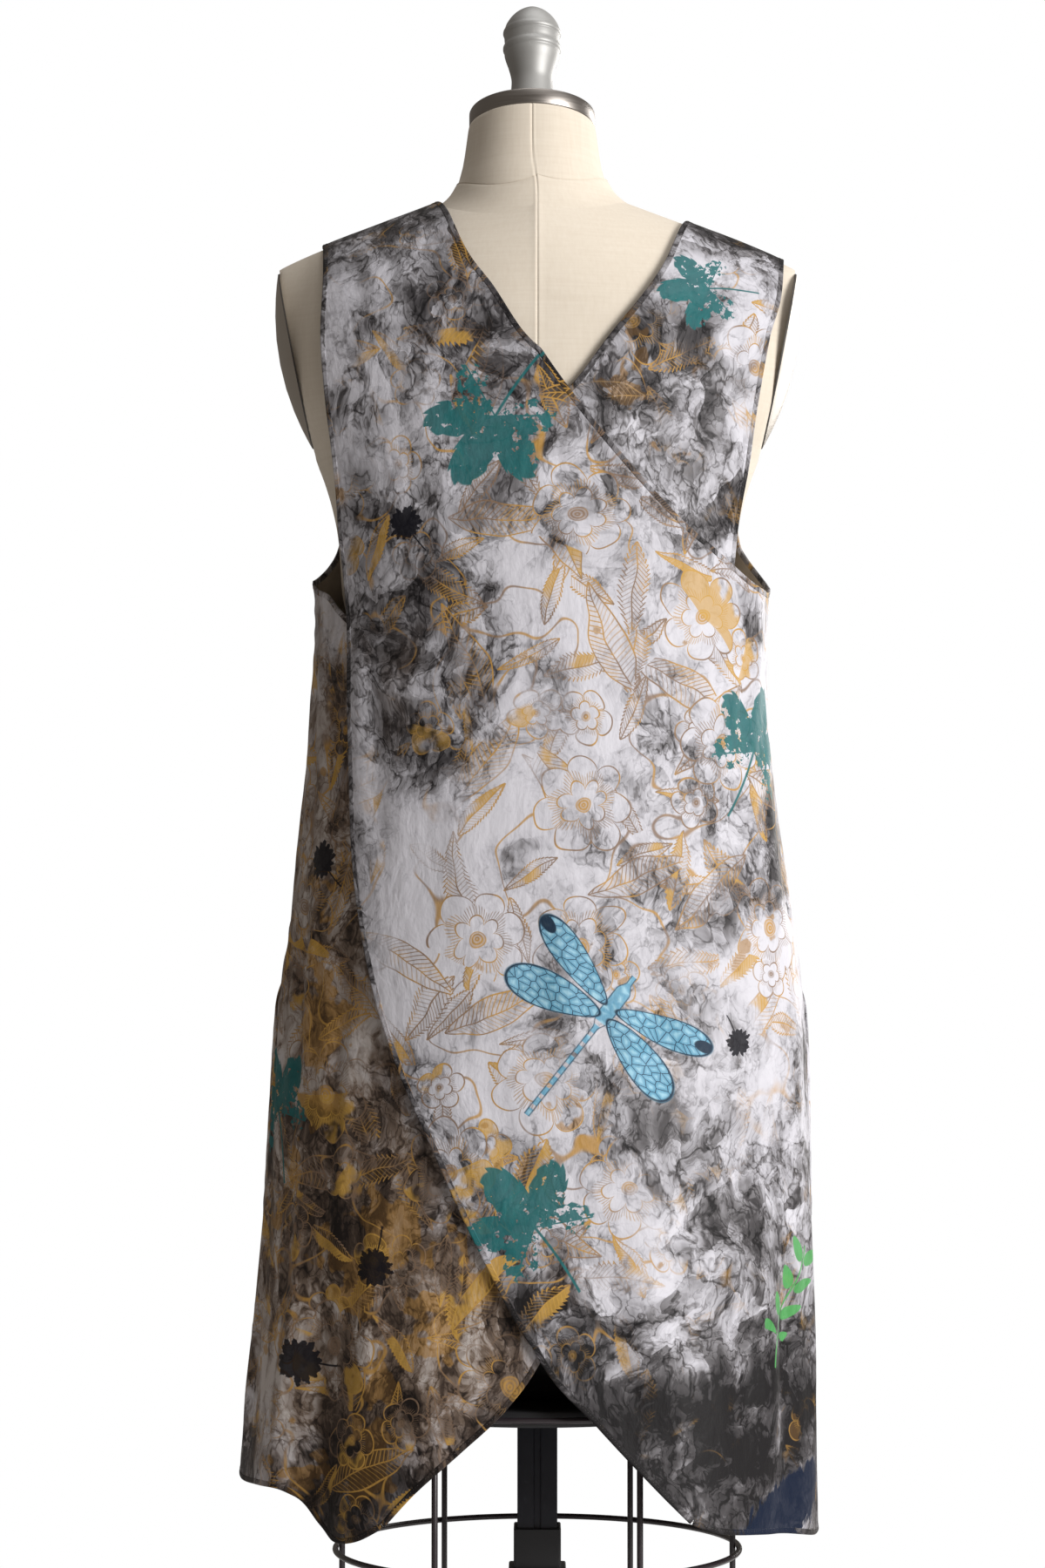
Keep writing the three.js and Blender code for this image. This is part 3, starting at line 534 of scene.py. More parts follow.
def lathe(name, profile, sides, materials, place=Matrix.Identity(4), sharp=None):
    """A turned body from (radius, height) points in millimetres that start and end on the axis."""
    profile = np.array(profile) * mm
    inner = profile[1:-1]
    angle = full_turn(sides)
    rings = np.stack([
        inner[:, :1] * np.cos(angle), inner[:, :1] * np.sin(angle), np.repeat(inner[:, 1:], sides, axis=1),
    ], axis=-1)
    points = [*rings.reshape(-1, 3), (0, 0, profile[0][1]), (0, 0, profile[-1][1])]
    low, high = len(points) - 2, len(points) - 1
    last = (len(inner) - 1) * sides
    faces = [[int(i) for i in quad][::-1] for quad in grid_faces(len(inner), sides, closed=True)]
    for i in range(sides):
        j = (i + 1) % sides
        faces.append([low, j, i])
        faces.append([high, last + i, last + j])
    made = mesh_object(name, points, faces, None, materials, sharp=sharp)
    made.data.transform(place)
    return made


def oval(half_wide, half_deep, angle):
    return np.stack([half_wide * np.cos(angle), half_deep * np.sin(angle)], axis=-1)


def along_path(path, sideways, up, section):
    """Rings of a section given in the sideways and up directions of each point of a path."""
    return path[:, None] + sideways[:, None] * section[None, :, :1] + up[:, None] * section[None, :, 1:]


# ---- Shader arithmetic ----


class Signal:
    """A socket inside a finish. Arithmetic on it adds Math nodes."""

    def __init__(self, finish, socket):
        self.finish = finish
        self.socket = socket

    def out(self, name):
        return Signal(self.finish, self.socket.node.outputs[name])

    def math(self, operation, *others):
        return self.finish.node("Math", {"operation": operation}, dict(enumerate((self, *others))))


def math_sign(operation, swapped=False):
    """A method that adds one Math node. A swapped one has the signal second."""

    def sign(signal, *others):
        ends = (*others, signal) if swapped else (signal, *others)
        return signal.finish.node("Math", {"operation": operation}, dict(enumerate(ends)))

    return sign


for sign, operation, swapped in (
    ("add", "ADD", False), ("radd", "ADD", False), ("sub", "SUBTRACT", False), ("rsub", "SUBTRACT", True),
    ("mul", "MULTIPLY", False), ("rmul", "MULTIPLY", False), ("truediv", "DIVIDE", False),
    ("pow", "POWER", False), ("abs", "ABSOLUTE", False), ("lt", "LESS_THAN", False),
    ("gt", "GREATER_THAN", False), ("or", "MAXIMUM", False),
):
    setattr(Signal, "__%s__" % sign, math_sign(operation, swapped))


class Finish:
    """One material on a Principled shader, whose constants are set straight on its sockets."""

    def __init__(self, name, **constants):
        self.material = bpy.data.materials.new(name)
        self.material.use_nodes = True
        self.tree = self.material.node_tree
        self.shader = self.tree.nodes["Principled BSDF"]
        for key, value in constants.items():
            self.shader.inputs[key if " " in key else key.replace("_", " ").title()].default_value = value

    def node(self, kind, settings=None, values=None, output=0):
        made = self.tree.nodes.new("ShaderNode" + kind)
        for name, value in (settings or {}).items():
            if name == "stops":
                self.set_stops(made.color_ramp, value)
            else:
                setattr(made, name, value)
        for key, value in (values or {}).items():
            if isinstance(value, Signal):
                self.tree.links.new(value.socket, made.inputs[key])
            else:
                made.inputs[key].default_value = value
        return Signal(self, made.outputs[output])

    @staticmethod
    def set_stops(ramp, stops):
        while len(ramp.elements) < len(stops):
            ramp.elements.new(1.0)
        for element, (at, colour) in zip(ramp.elements, stops):
            element.position = at
            element.color = (*colour, 1.0)

    def cut(self):
        return self.node("UVMap", {"uv_map": "cut"})

    def object_place(self):
        return self.node("TexCoord", output="Object")

    def attribute(self, name):
        return self.node("Attribute", {"attribute_name": name}, output="Fac")

    def vector(self, operation, *values):
        return self.node("VectorMath", {"operation": operation}, dict(enumerate(values)))

    def scaled(self, vector, scale):
        return self.vector("MULTIPLY", vector, scale)

    def length(self, vector):
        return self.vector("LENGTH", vector).out("Value")

    def turned(self, vector, angle):
        return self.node("VectorRotate", {"rotation_type": "Z_AXIS"}, {"Vector": vector, "Angle": angle})

    def split(self, vector):
        parts = self.node("SeparateXYZ", values={0: vector})
        return parts, parts.out("Y")

    def split_colour(self, colour):
        parts = self.node("SeparateColor", values={0: colour})
        return parts, parts.out("Green"), parts.out("Blue")

    def smooth(self, value, start, end):
        return self.node("MapRange", {"interpolation_type": "SMOOTHSTEP"},
                         {"Value": value, "From Min": start, "From Max": end})

    def within(self, value, limit, soft):
        """1 where the value is under the limit, with a soft edge."""
        return 1 - self.smooth(value, limit - soft, limit + soft)

    def noise(self, vector, scale, detail=2.0, rough=0.5, output="Fac", space="2D"):
        values = {"Vector": vector, "Scale": scale, "Detail": detail, "Roughness": rough}
        return self.node("TexNoise", {"noise_dimensions": space}, values, output)

    def cells(self, vector, scale, feature="F1", output=0, **values):
        values = {"Vector": vector, "Scale": scale, **values}
        return self.node("TexVoronoi", {"feature": feature, "voronoi_dimensions": "2D"}, values, output)

    def warped(self, vector, scale, reach, detail=2.0, space="2D"):
        """The vector, pushed about by soft noise."""
        push = self.noise(vector, scale, detail, output="Color", space=space)
        centred = self.vector("SUBTRACT", push, (0.5, 0.5, 0.5))
        return self.vector("MULTIPLY_ADD", centred, (reach, reach, 0.0 if space == "2D" else reach), vector)

    def mix(self, factor, first, second):
        return self.node("Mix", {"data_type": "RGBA"}, {0: factor, 6: first, 7: second}, 2)

    def choose(self, factor, first, second):
        return self.node("Mix", {"data_type": "VECTOR"}, {0: factor, 4: first, 5: second}, 1)

    def ramp(self, value, *stops):
        return self.node("ValToRGB", {"stops": stops}, {0: value})

    def bump(self, height, distance, strength=1.0, normal=None):
        values = {"Height": height, "Distance": distance, "Strength": strength}
        if normal is not None:
            values["Normal"] = normal
        return self.node("Bump", values=values)

    def connect(self, **signals):
        for key, signal in signals.items():
            self.tree.links.new(signal.socket, self.shader.inputs[key.replace("_", " ").title()])
        return self.material


def rgba(red, green, blue):
    return (red, green, blue, 1.0)


# ---- Dyed ground ----


def shards(f, at, scale):
    """Angular patches. Each has its own tone and falls off to one side."""
    cell = f.cells(at, scale, output="Position")
    aside, above = f.split(f.vector("SUBTRACT", at, cell))
    own, turn, _ = f.split_colour(cell.out("Color"))
    slope = aside * (turn * math.tau).math("COSINE") + above * (turn * math.tau).math("SINE")
    return (own - 0.5) * 0.95 + slope * (scale * 0.85)


def veins(f, at, scale, width):
    """Fine branching lines, as dye leaves along the folds of scrunched cloth."""
    return 1 - f.smooth(abs(f.noise(at, scale, 3.0, 0.55) - 0.5), 0.0, width)


def dyed_ground(f, cut):
    """Crumple-dyed cotton: pale shards with dark gaps, brushed clouds and a warm wash.

    Gives its colour, its tone and its brush strokes.
    """
    bent = f.warped(cut, 11.0, 0.045, 3.0)
    fine = f.warped(f.scaled(bent, (1.0, 0.72, 1.0)), 80.0, 0.007, 4.0)
    clouds = f.noise(bent, 8.0, 5.0, 0.62)
    mottle = f.noise(fine, 34.0, 4.0, 0.6)
    strokes = f.noise(f.scaled(f.turned(fine, 0.35), (150.0, 60.0, 1.0)), 1.0, 3.0, 0.6)
    macro = (clouds - 0.5) * 1.9 + f.attribute("shade")
    thick = f.smooth(macro, -0.05, 0.5)
    crumple = shards(f, fine, 50.0) * 0.42 + shards(f, fine, 120.0) * 0.24 + (mottle - 0.5) * 2.0
    creased = sum(veins(f, fine, scale, width) * amount for scale, width, amount in (
        (24.0, 0.028, 0.22), (55.0, 0.04, 0.19), (120.0, 0.05, 0.11),
    ))
    warm = f.attribute("warm")
    streaks = f.noise(f.scaled(bent, (75.0, 6.0, 1.0)), 1.0, 4.0, 0.6)
    tone = macro * 0.9 + crumple * (thick * 0.46 + 0.14) + creased * (thick * 0.9 + 0.45)
    tone = tone + (strokes - 0.5) * 0.2 + (streaks - 0.5) * (warm * 1.1 + 0.12)
    ground = f.ramp(
        tone * 0.8, (0.0, (0.56, 0.555, 0.605)), (0.16, (0.475, 0.47, 0.515)), (0.32, (0.315, 0.31, 0.338)),
        (0.48, (0.165, 0.159, 0.170)), (0.65, (0.062, 0.058, 0.062)), (0.92, (0.010, 0.009, 0.010)),
    )
    brown = f.ramp(
        tone * 0.8, (0.0, (0.48, 0.44, 0.42)), (0.16, (0.32, 0.275, 0.25)), (0.34, (0.155, 0.115, 0.090)),
        (0.56, (0.055, 0.038, 0.029)), (0.9, (0.010, 0.007, 0.006)),
    )
    stain = f.smooth(warm + (mottle - 0.5) * 0.8, 0.15, 0.7)
    return f.mix(stain, ground, brown), tone, strokes


# ---- Print motifs ----
# Each takes places as (x, y) and returns how far a point is inked, from 0 to 1.


def fract(value, times):
    return (value * times).math("FRACT")


def line(f, value, half_width, soft):
    return f.within(abs(value), half_width, soft)


def repeated(f, cut, scale, shift):
    """A turned coordinate in metres about scattered points, and two random numbers for each point."""
    at = f.vector("ADD", cut, (shift, 0.37 * shift, 0.0))
    cell = f.cells(at, scale, output="Position", Randomness=0.8)
    turn, first, second = f.split_colour(cell.out("Color"))
    local = f.turned(f.vector("SUBTRACT", at, cell), turn * math.tau)
    return (*f.split(local), first, second)


def drawn_leaf(f, x, y, length, width, veins, teeth=0.0):
    """An engraved leaf: outline, midrib, side veins, and one hatched half."""
    s = x / length
    half = width * (1 - s * s) * (1.0 - 0.3 * s)
    if teeth:
        half = half * (1 - teeth * fract(s, 9.0))
    inside = f.within(abs(y) - half, 0.0, 0.25 * mm) * (abs(s) < 1.0)
    outline = line(f, abs(y) - half, 0.55 * mm, 0.3 * mm) * (abs(s) < 1.0)
    midrib = line(f, y, 0.5 * mm, 0.3 * mm)
    vein = f.within(abs(fract(x - abs(y) * 0.8, veins) - 0.5), 0.13, 0.08)
    hatched = (y > 0.0) * 0.35 + 0.2
    return inside, outline | (inside * (midrib | (vein * (hatched + 0.4)) | (hatched * 0.3)))


def drawn_flower(f, x, y, radius, petals):
    """An engraved blossom of two rings of petals about a stippled heart."""
    r = (x * x + y * y).math("SQRT")
    angle = y.math("ARCTAN2", x)
    swing = angle * (petals / 2)
    outer_lobe, inner_lobe = abs(swing.math("COSINE")), abs(swing.math("SINE"))
    outer = radius * (0.66 + 0.34 * outer_lobe ** 0.6)
    inner = radius * 0.52 * (0.62 + 0.38 * inner_lobe ** 0.6)
    inside = f.within(r - outer, 0.0, 0.3 * mm)
    rims = line(f, r - outer, 0.6 * mm, 0.3 * mm) | line(f, r - inner, 0.5 * mm, 0.3 * mm)
    parts = line(f, outer_lobe * r, 0.7 * mm, 0.5 * mm) * (r > inner) * inside
    ray_ring = f.within(abs(r - inner - radius * 0.1), radius * 0.09, 1 * mm)
    rays = f.within(abs(fract(angle, petals * 1.6) - 0.5), 0.16, 0.1) * ray_ring
    stipple = f.within(abs(fract(r, 420.0) - 0.5), 0.25, 0.1)
    heart = f.within(r, radius * 0.17, 0.6 * mm) * (0.55 + 0.45 * stipple)
    return inside, rims | parts | (rays * 0.75) | heart


def near_places(f, cut, places):
    """The coordinate about whichever place is close by, in units of that place's size."""
    found = (9.0, 9.0, 0.0)
    for across, along, degrees, size in places:
        at = f.vector("SUBTRACT", cut, (across * mm, along * mm, 0.0))
        at = f.scaled(f.turned(at, -math.radians(degrees)), (1000 / size,) * 3)
        found = f.choose(f.length(at) < 1.15, found, at)
    return found


def ellipse_field(x, y, middle, degrees, half_long, half_wide, taper=0.0):
    """Under 1 inside an ellipse that widens along its length."""
    c, s = math.cos(math.radians(degrees)), math.sin(math.radians(degrees))
    u = ((x - middle[0]) * c + (y - middle[1]) * s) / half_long
    v = ((y - middle[1]) * c - (x - middle[0]) * s) / (half_wide * (1 + taper * u))
    return u * u + v * v


def lobed_leaf(f, cut, places):
    """A five-lobed leaf with a worn, holed surface held together by its veins."""
    at = near_places(f, cut, places)
    x, y = f.split(at)
    r = f.length(at)
    angle = x.math("ARCTAN2", y)
    ahead = angle.math("COSINE")
    lobes = abs((angle * 3.0).math("COSINE")) ** 1.2
    teeth = fract(angle, 34 / math.tau)
    edge = (0.47 + 0.46 * lobes * (0.72 + 0.28 * ahead) - 0.06 * teeth) * f.smooth(ahead, -1.0, -0.8)
    worn = f.noise(at, 7.0, 3.0, 0.6)
    inside = f.within(r - edge, 0.0, 0.015)
    veins = f.within(abs((angle * 3.0).math("SINE")) * r, 0.028, 0.012)
    solid = f.smooth(worn + 0.14 * ahead, 0.41, 0.45)
    stem = line(f, x + 0.10 * y * y, 0.017, 0.008) * (y < 0.0) * (y > -0.95)
    return (inside * (solid | veins)) | stem


def dragonfly(f, cut, places):
    """Two pairs of netted wings on a banded body. Gives the blue areas and the dark lines."""
    at = near_places(f, cut, places)
    x, y = f.split(at)
    aside = abs(x)
    wings = []
    for middle, degrees, half_long, half_wide in (
        ((0.49, 0.36), 17, 0.47, 0.125), ((0.46, 0.03), -13, 0.44, 0.155),
    ):
        field = ellipse_field(aside, y, middle, degrees, half_long, half_wide, 0.35)
        wings.append((f.within(field, 1.0, 0.06), line(f, field - 0.97, 0.09, 0.05)))
    net = f.cells(f.scaled(at, (1.0, 1.7, 1.0)), 9.5, "DISTANCE_TO_EDGE")
    blade = wings[0][0] | wings[1][0]
    ribs = f.within(net, 0.035, 0.02)
    tips = f.within(ellipse_field(aside, y, (0.86, 0.47), 17, 0.10, 0.05), 1.0, 0.2)
    body_half = 0.026 + 0.045 * f.smooth(y, 0.0, 0.12) * f.within(y, 0.44, 0.05)
    body = f.within(aside - body_half, 0.0, 0.008) * (y > -0.92) * (y < 0.56)
    bands = f.within(abs(fract(y, 9.0) - 0.5), 0.17, 0.06) * (y < 0.1)
    blue = (blade | body) * (1 - bands * body)
    body_rim = line(f, aside - body_half, 0.008, 0.006) * body
    dark = (blade * (ribs | wings[0][1] | wings[1][1] | tips)) | body_rim
    return blue, dark, net


def sprig(f, cut, places):
    """A bent stem with pairs of small leaves."""
    x, y = f.split(near_places(f, cut, places))
    aside = x - 0.16 * (y * 2.6).math("SINE")
    run = (fract(y, 2.6) - 0.5) / 2.6
    leaf = f.within(ellipse_field(abs(aside), run, (0.19, 0.03), 38, 0.19, 0.085, -0.3), 1.0, 0.12)
    stem = line(f, aside, 0.017, 0.01)
    return (leaf * (y > -0.55) * (y < 0.75)) | (stem * (y > -0.95) * (y < 0.7))


def seed_head(f, cut, places):
    """A ragged dark head on a thin stalk."""
    at = near_places(f, cut, places)
    x, y = f.split(at)
    angle = x.math("ARCTAN2", y)
    ragged = f.noise(at, 2.6, 3.0, 0.7)
    spikes = abs(fract(angle, 15 / math.tau) - 0.5)
    head = f.within(f.length(at) - 0.16 - 0.42 * ragged - 0.22 * spikes, 0.0, 0.02)
    stalk = line(f, x - 0.12 * y * y, 0.022, 0.012) * (y < 0.0) * (y > -1.0)
    return head | stalk


# Broad tones of the dyeing and of the print, on the flat cloth in millimetres:
# middle across and along, reach across and along, amount.
regions = {
    "outer": {
        "shade": [(-120, 1410, 100, 60, 0.62), (-45, 1310, 40, 55, 0.40), (0, 1255, 35, 30, 0.34),
                  (-118, 1240, 40, 40, 0.18), (35, 1205, 40, 30, 0.28), (-105, 1080, 48, 75, 0.46),
                  (-85, 975, 50, 35, 0.36), (175, 1075, 25, 30, 0.4), (190, 900, 35, 50, 0.42),
                  (122, 868, 42, 36, 0.32), (15, 845, 38, 24, 0.22), (120, 800, 30, 30, 0.2),
                  (20, 690, 50, 30, 0.22), (170, 620, 50, 50, 0.42), (125, 490, 120, 78, 0.98),
                  (228, 490, 60, 75, 0.60), (30, 850, 90, 80, -0.16), (45, 690, 60, 50, -0.2),
                  (20, 580, 60, 50, 0.45), (235, 700, 40, 70, 0.32), (150, 560, 30, 25, -0.2),
                  (228, 1000, 34, 220, 0.16), (228, 780, 34, 120, 0.14), (60, 930, 60, 60, -0.12),
                  (60, 1060, 60, 50, -0.12), (-60, 820, 50, 70, -0.15), (0, 0, 1e5, 1e5, 0.22)],
        "warm": [(-105, 1050, 40, 80, 0.38), (-120, 1410, 60, 50, 0.3), (20, 600, 40, 40, 0.3)],
        "gold": [(0, 1150, 110, 120, 0.9), (120, 1030, 70, 110, 1.0), (60, 900, 90, 90, 0.8),
                 (-60, 780, 60, 130, 0.9), (190, 880, 30, 120, 0.8), (20, 640, 60, 70, 0.7),
                 (-70, 1340, 60, 60, 0.45)],
        "ochre": [(190, 860, 30, 90, 0.5), (-30, 700, 50, 60, 0.25), (-60, 1390, 50, 60, 0.3)],
    },
    "under": {
        "shade": [(160, 1420, 70, 45, 0.62), (92, 1285, 40, 45, 0.45), (125, 1200, 50, 55, 0.30),
                  (60, 1220, 40, 30, 0.3), (150, 1130, 30, 50, 0.2), (120, 1350, 30, 30, -0.12),
                  (-150, 980, 30, 50, 0.6), (-145, 640, 30, 60, 0.5), (-120, 520, 60, 70, 0.42),
                  (-190, 720, 40, 120, 0.14), (-150, 450, 90, 50, 0.4), (-70, 540, 35, 35, -0.25),
                  (-245, 520, 40, 60, -0.1), (0, 0, 1e5, 1e5, 0.28)],
        "warm": [(-200, 880, 150, 260, 0.78), (-150, 560, 160, 150, 0.76), (-60, 560, 70, 60, 0.3)],
        "gold": [(-190, 850, 120, 260, 0.6), (-120, 560, 110, 130, 0.7), (95, 1260, 30, 30, 0.6),
                 (160, 1300, 20, 60, 0.7)],
        "ochre": [(-175, 770, 50, 110, 0.55), (-85, 610, 55, 55, 1.0), (-190, 610, 60, 110, 0.45),
                  (70, 1235, 25, 25, 0.9), (-140, 480, 60, 50, 0.5)],
    },
    "front": {
        "shade": [(-110, 1410, 90, 60, 0.6), (160, 1410, 90, 60, 0.6), (0, 480, 240, 50, 0.6),
                  (-190, 900, 50, 160, 0.25), (190, 760, 60, 160, 0.3), (0, 1000, 100, 150, -0.12),
                  (0, 0, 1e5, 1e5, 0.20)],
        "warm": [(-250, 820, 100, 320, 0.8), (-150, 560, 110, 120, 0.7), (60, 620, 60, 60, 0.3)],
        "gold": [(0, 1060, 150, 180, 0.9), (40, 760, 160, 140, 0.8), (-220, 760, 80, 200, 0.7)],
        "ochre": [(-230, 700, 70, 140, 0.7), (200, 900, 50, 90, 0.4), (60, 560, 60, 50, 0.4)],
    },
}

# Placed motifs: middle across and along, turn in degrees, size in millimetres.
placed = {
    "outer": {
        "leaf": [(-30, 1225, 150, 62), (172, 985, -24, 60), (-2, 640, 40, 58)], "fly": [(40, 780, -38, 84)],
        "sprig": [(206, 585, -20, 58)], "seed": [(-96, 1150, 30, 26), (150, 770, 200, 22)],
        "navy": [(205, 432, 20, 70)],
    },
    "under": {
        "leaf": [(-228, 720, 20, 58), (128, 1330, 100, 44)],
        "seed": [(-176, 905, 40, 30), (-120, 610, 160, 30), (-190, 540, 80, 34)],
    },
    "front": {
        "leaf": [(-70, 1180, 20, 62), (130, 700, 190, 60), (-190, 600, 90, 56)], "fly": [(60, 900, 25, 80)],
        "sprig": [(-90, 780, 10, 50)], "seed": [(150, 1010, 60, 28), (-30, 560, 0, 30)],
    },
}


# Where each panel was cut from the printed cloth, in metres.
bolt_place = {"outer": (0.0, 0.0, 0.0), "under": (0.0, 0.0, 0.0), "front": (2.37, -1.61, 0.0)}


def printed_cloth(name, panel):
    cotton = {"Roughness": 0.62, "Sheen Weight": 0.03, "Sheen Roughness": 0.4, "Specular IOR Level": 0.16}
    f = Finish(name, **cotton)
    cut = f.cut()
    own_part = f.vector("ADD", cut, bolt_place[panel])
    ink, tone, strokes = dyed_ground(f, own_part)
    gold, ochre = f.attribute("gold"), f.attribute("ochre")
    bent = f.warped(own_part, 14.0, 0.02, 2.0)

    # Engraved plants, the blossoms over the leaves. Some petals and leaves are filled with gold.
    lines = covered = filled = 0.0
    for draw, scale, shift, keep, plain, size in (
        (drawn_flower, 9.5, 0.31, 0.7, 0.7, (36 * mm, 7)),
        (drawn_flower, 16.0, 1.73, 0.6, 0.55, (19 * mm, 5)),
        (drawn_leaf, 10.0, 2.9, 0.9, 0.55, (43 * mm, 12 * mm, 260.0)),
        (drawn_leaf, 13.0, 4.1, 0.85, 0.55, (31 * mm, 11 * mm, 330.0, 0.35)),
        (drawn_leaf, 18.0, 5.3, 0.9, 0.55, (25 * mm, 7 * mm, 400.0, 0.2)),
    ):
        x, y, keeps, fills = repeated(f, bent, scale, shift)
        inside, drawn = draw(f, x, y, *size)
        kept = keeps < keep
        free = kept * (1 - covered)
        lines = drawn * free | lines
        filled = inside * free * (fills > plain) * (y > 0.0) | filled
        covered = inside * kept | covered
    drift = f.noise(bent, 15.0, 1.0)
    lines = lines | (line(f, drift - 0.5, 0.007, 0.005) * (1 - covered) * 0.9)
    patchy = f.noise(own_part, 21.0, 3.0, 0.6)
    line_colour = f.mix(f.smooth(patchy, 0.42, 0.58), rgba(0.20, 0.13, 0.085), rgba(0.42, 0.235, 0.055))
    strength = f.smooth(gold + (patchy - 0.5) * 1.4, 0.05, 0.6)
    ink = f.mix(lines * strength * 0.95, ink, line_colour)
    leafed = filled * f.smooth(patchy + gold * 0.12, 0.52, 0.6) * (strength * 0.75)
    ink = f.mix(leafed, ink, rgba(0.47, 0.28, 0.06))
    blotches = f.smooth(ochre * 0.62 + (patchy - 0.5) * 2.6 - lines * 0.9, 0.42, 0.5)
    if panel == "outer":
        blotches = blotches * covered
    shaded = f.smooth(tone, 0.2, 0.9)
    ink = f.mix(blotches * 0.72, ink, f.mix(shaded, rgba(0.33, 0.18, 0.045), rgba(0.09, 0.048, 0.016)))

    motifs = placed[panel]
    teal = lobed_leaf(f, cut, motifs["leaf"])
    ink = f.mix(teal * 0.94, ink, f.mix(strokes, rgba(0.006, 0.075, 0.085), rgba(0.020, 0.155, 0.16)))
    if "fly" in motifs:
        blue, dark, net = dragonfly(f, cut, motifs["fly"])
        wing_blue = f.mix(f.smooth(net, 0.1, 0.5), rgba(0.10, 0.31, 0.46), rgba(0.28, 0.53, 0.66))
        ink = f.mix(blue * 0.88, ink, wing_blue)
        ink = f.mix(dark * 0.94, ink, rgba(0.005, 0.010, 0.028))
    if "sprig" in motifs:
        green = f.mix(strokes, rgba(0.04, 0.20, 0.05), rgba(0.10, 0.38, 0.12))
        ink = f.mix(sprig(f, cut, motifs["sprig"]) * 0.92, ink, green)
    ink = f.mix(seed_head(f, cut, motifs["seed"]) * 0.95, ink, rgba(0.004, 0.004, 0.008))
    if "navy" in motifs:
        far = f.length(f.scaled(near_places(f, cut, motifs["navy"]), (0.75, 2.3, 1.0)))
        navy = f.within(far + (strokes - 0.5) * 0.7, 0.72, 0.06)
        ink = f.mix(navy * 0.94, ink, rgba(0.003, 0.009, 0.028))

    weave = f.noise(f.scaled(cut, (900.0, 2600.0, 1.0)), 1.0, 1.0)
    rumple = f.noise(f.scaled(bent, (1.0, 0.45, 1.0)), 110.0, 3.0, 0.55)
    bump = f.bump(rumple, 0.0012, 0.7, f.bump(weave, 0.00008, 0.35))
    return f.connect(base_color=ink, roughness=0.5 + strokes * 0.16, normal=bump)


def wrong_side(name):
    f = Finish(name, Roughness=0.75)
    cut = f.cut()
    clouds = f.noise(f.warped(cut, 12.0, 0.05, 2.0), 14.0, 4.0, 0.6)
    faded = f.ramp(clouds + f.attribute("shade") * 0.25, (0.3, (0.42, 0.37, 0.31)),
                   (0.55, (0.27, 0.23, 0.19)),
                   (0.8, (0.10, 0.085, 0.075)))
    weave = f.noise(f.scaled(cut, (900.0, 2600.0, 1.0)), 1.0, 1.0)
    return f.connect(base_color=faded, normal=f.bump(weave, 0.0001, 0.5))


def linen(name):
    f = Finish(name, Roughness=0.88, **{"Sheen Weight": 0.1})
    place = f.object_place()
    upright = f.noise(f.scaled(place, (420.0, 420.0, 26.0)), 1.0, 2.0, 0.6, space="3D")
    level = f.noise(f.scaled(place, (24.0, 24.0, 460.0)), 1.0, 2.0, 0.6, space="3D")
    patchy = f.noise(place, 5.0, 3.0, space="3D")
    threads = upright * 0.5 + level * 0.5
    colour = f.ramp(threads * 0.75 + patchy * 0.25, (0.3, (0.605, 0.535, 0.445)),
                    (0.52, (0.645, 0.58, 0.49)),
                    (0.75, (0.685, 0.625, 0.54)))
    return f.connect(base_color=colour, normal=f.bump(threads, 0.0002, 0.4))


def brushed_metal(name, colour, rough):
    f = Finish(name, Metallic=1.0, Roughness=rough)
    lines = f.noise(f.scaled(f.object_place(), (30.0, 30.0, 1600.0)), 1.0, 3.0, space="3D")
    tint = f.mix(lines, rgba(*(0.72 * c for c in colour)), rgba(*colour))
    return f.connect(base_color=tint, roughness=rough + (lines - 0.5) * 0.25,
                     normal=f.bump(lines, 0.00005, 0.4))


def worn_paint(name, colour, worn, rough, metallic=0.0):
    """Paint or moulding with faint mottling and fine scuffs."""
    f = Finish(name, Roughness=rough, Metallic=metallic)
    place = f.object_place()
    mottle = f.noise(place, 38.0, 5.0, 0.6, space="3D")
    grains = f.noise(f.warped(place, 20.0, 0.03, space="3D"), 90.0, 4.0, 0.7, space="3D")
    scuffs = f.smooth(grains, 0.62, 0.8)
    colour = f.mix(mottle * 0.55 + scuffs * 0.45, rgba(*colour), rgba(*worn))
    return f.connect(base_color=colour, roughness=rough + (mottle - 0.5) * 0.14,
                     normal=f.bump(mottle, 0.0002, 0.3))


def thread(name):
    f = Finish(name, Roughness=0.7)
    grain = f.noise(f.object_place(), 900.0, 2.0, space="3D")
    return f.connect(base_color=f.mix(grain, rgba(0.16, 0.15, 0.145), rgba(0.24, 0.225, 0.215)))


finishes = {
    "outer": printed_cloth("outer_print", "outer"),
    "under": printed_cloth("under_print", "under"),
    "front": printed_cloth("front_print", "front"),
    "wrong": wrong_side("wrong_side"),
    "linen": linen("form_linen"),
    "cap": brushed_metal("brushed_cap", (0.33, 0.305, 0.285), 0.38),
    "finial": worn_paint("grey_finial", (0.33, 0.33, 0.325), (0.46, 0.46, 0.45), 0.50, 0.45),
    "plate": worn_paint("arm_plate_taupe", (0.30, 0.265, 0.225), (0.42, 0.385, 0.335), 0.4, 0.35),
    # The plate rim's near-black colour is painted shadow, standing for the dark gap between plate and
    # linen.
    "rim": worn_paint("plate_rim_painted_shadow", (0.030, 0.026, 0.024), (0.10, 0.09, 0.08), 0.45),
    "black": worn_paint("black_block", (0.008, 0.008, 0.010), (0.03, 0.03, 0.034), 0.6),
    "wire": worn_paint("black_wire", (0.012, 0.008, 0.011), (0.05, 0.04, 0.045), 0.35),
    "column": worn_paint("black_column", (0.011, 0.012, 0.018), (0.050, 0.052, 0.066), 0.38, 0.3),
    "stand": worn_paint("stand_enamel", (0.014, 0.014, 0.017), (0.05, 0.05, 0.055), 0.55, 0.1),
    "thread": thread("sewing_thread"),
}

